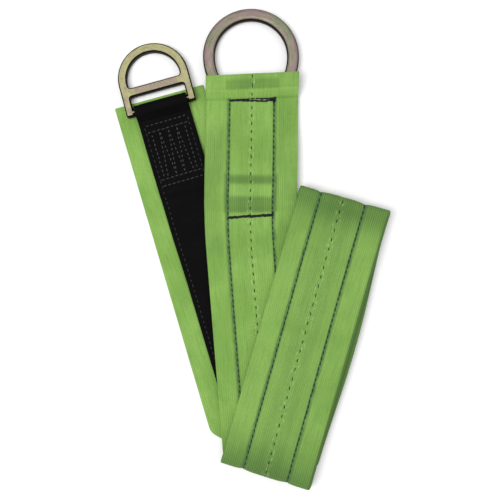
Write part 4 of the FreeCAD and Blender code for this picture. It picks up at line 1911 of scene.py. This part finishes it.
# ---- the studio ---------------------------------------------------------------------------
class Lamp(NamedTuple):
    """A square soft light that looks at the sling's middle."""

    name: str
    place: tuple[float, float, float]
    power: float
    size: float

    def build(self) -> None:
        """Make the light."""
        data = bpy.data.lights.new(self.name, "AREA")
        data.energy = self.power
        data.size = self.size
        lamp = bpy.data.objects.new(self.name, data)
        lamp.location = self.place
        lamp.rotation_euler = (-Vector(self.place)).to_track_quat("-Z", "Y").to_euler()
        bpy.context.scene.collection.objects.link(lamp)


@dataclass
class Studio:
    """Pale floor, soft light and the camera straight above."""

    camera_place: tuple[float, float, float] = (-0.000861, -0.001445, 0.600)
    lens: float = 51.78
    floor_size: float = 6.0
    sky: float = 0.40
    lamps: tuple[Lamp, ...] = (Lamp("key_light", (-0.55, -0.20, 1.45), 13.5, 0.7),
                               Lamp("fill_light", (0.8, 0.6, 1.3), 3.0, 1.0),
                               Lamp("top_light", (0.0, 0.1, 1.8), 9.5, 1.0))

    def build(self) -> None:
        """Make the floor, the lights and the camera."""
        half = self.floor_size / 2 / MM
        corners = np.array([(-half, -half, 0), (half, -half, 0), (half, half, 0), (-half, half, 0)])
        floor = make_object("floor", corners, [[0, 1, 2, 3]], [Paper().material()])
        for lamp in self.lamps:
            lamp.build()
        world = bpy.data.worlds.new("white_room")
        world.use_nodes = True
        background = world.node_tree.nodes["Background"]
        background.inputs["Color"].default_value = (1.0, 1.0, 1.0, 1.0)
        background.inputs["Strength"].default_value = self.sky
        bpy.context.scene.world = world
        bpy.context.scene.view_settings.view_transform = "Standard"
        data = bpy.data.cameras.new("camera")
        data.lens = self.lens
        camera = bpy.data.objects.new("camera", data)
        camera.location = self.camera_place
        bpy.context.scene.collection.objects.link(camera)
        bpy.context.scene.camera = camera


def main() -> None:
    """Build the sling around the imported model."""
    logging.basicConfig(level=logging.INFO, format="%(message)s")
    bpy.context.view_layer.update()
    Studio().build()
    route = Route()
    green_thread = Thread("thread_dark_green", (0.006, 0.022, 0.012), (0.015, 0.05, 0.028))
    black_thread = Thread("thread_black", (0.006, 0.004, 0.009), (0.02, 0.018, 0.028))
    grey_thread = Thread("thread_on_web", (0.014, 0.014, 0.015), (0.056, 0.056, 0.058), 0.42, 0.3)
    dull_thread = Thread("thread_edge_on_web", (0.008, 0.008, 0.009), (0.034, 0.034, 0.036), 0.5,
                         0.2)
    pad, web = WearPad(route), LoadWeb(route)
    pad.build()
    web.build()
    LongSeams(route, pad, web, green_thread.material(), dull_thread.material()).build()
    BarSeams(route, black_thread.material()).build()
    SmallEndSeams(route, grey_thread.material()).build()
    Rings().build()


if __name__ == "__main__":
    main()
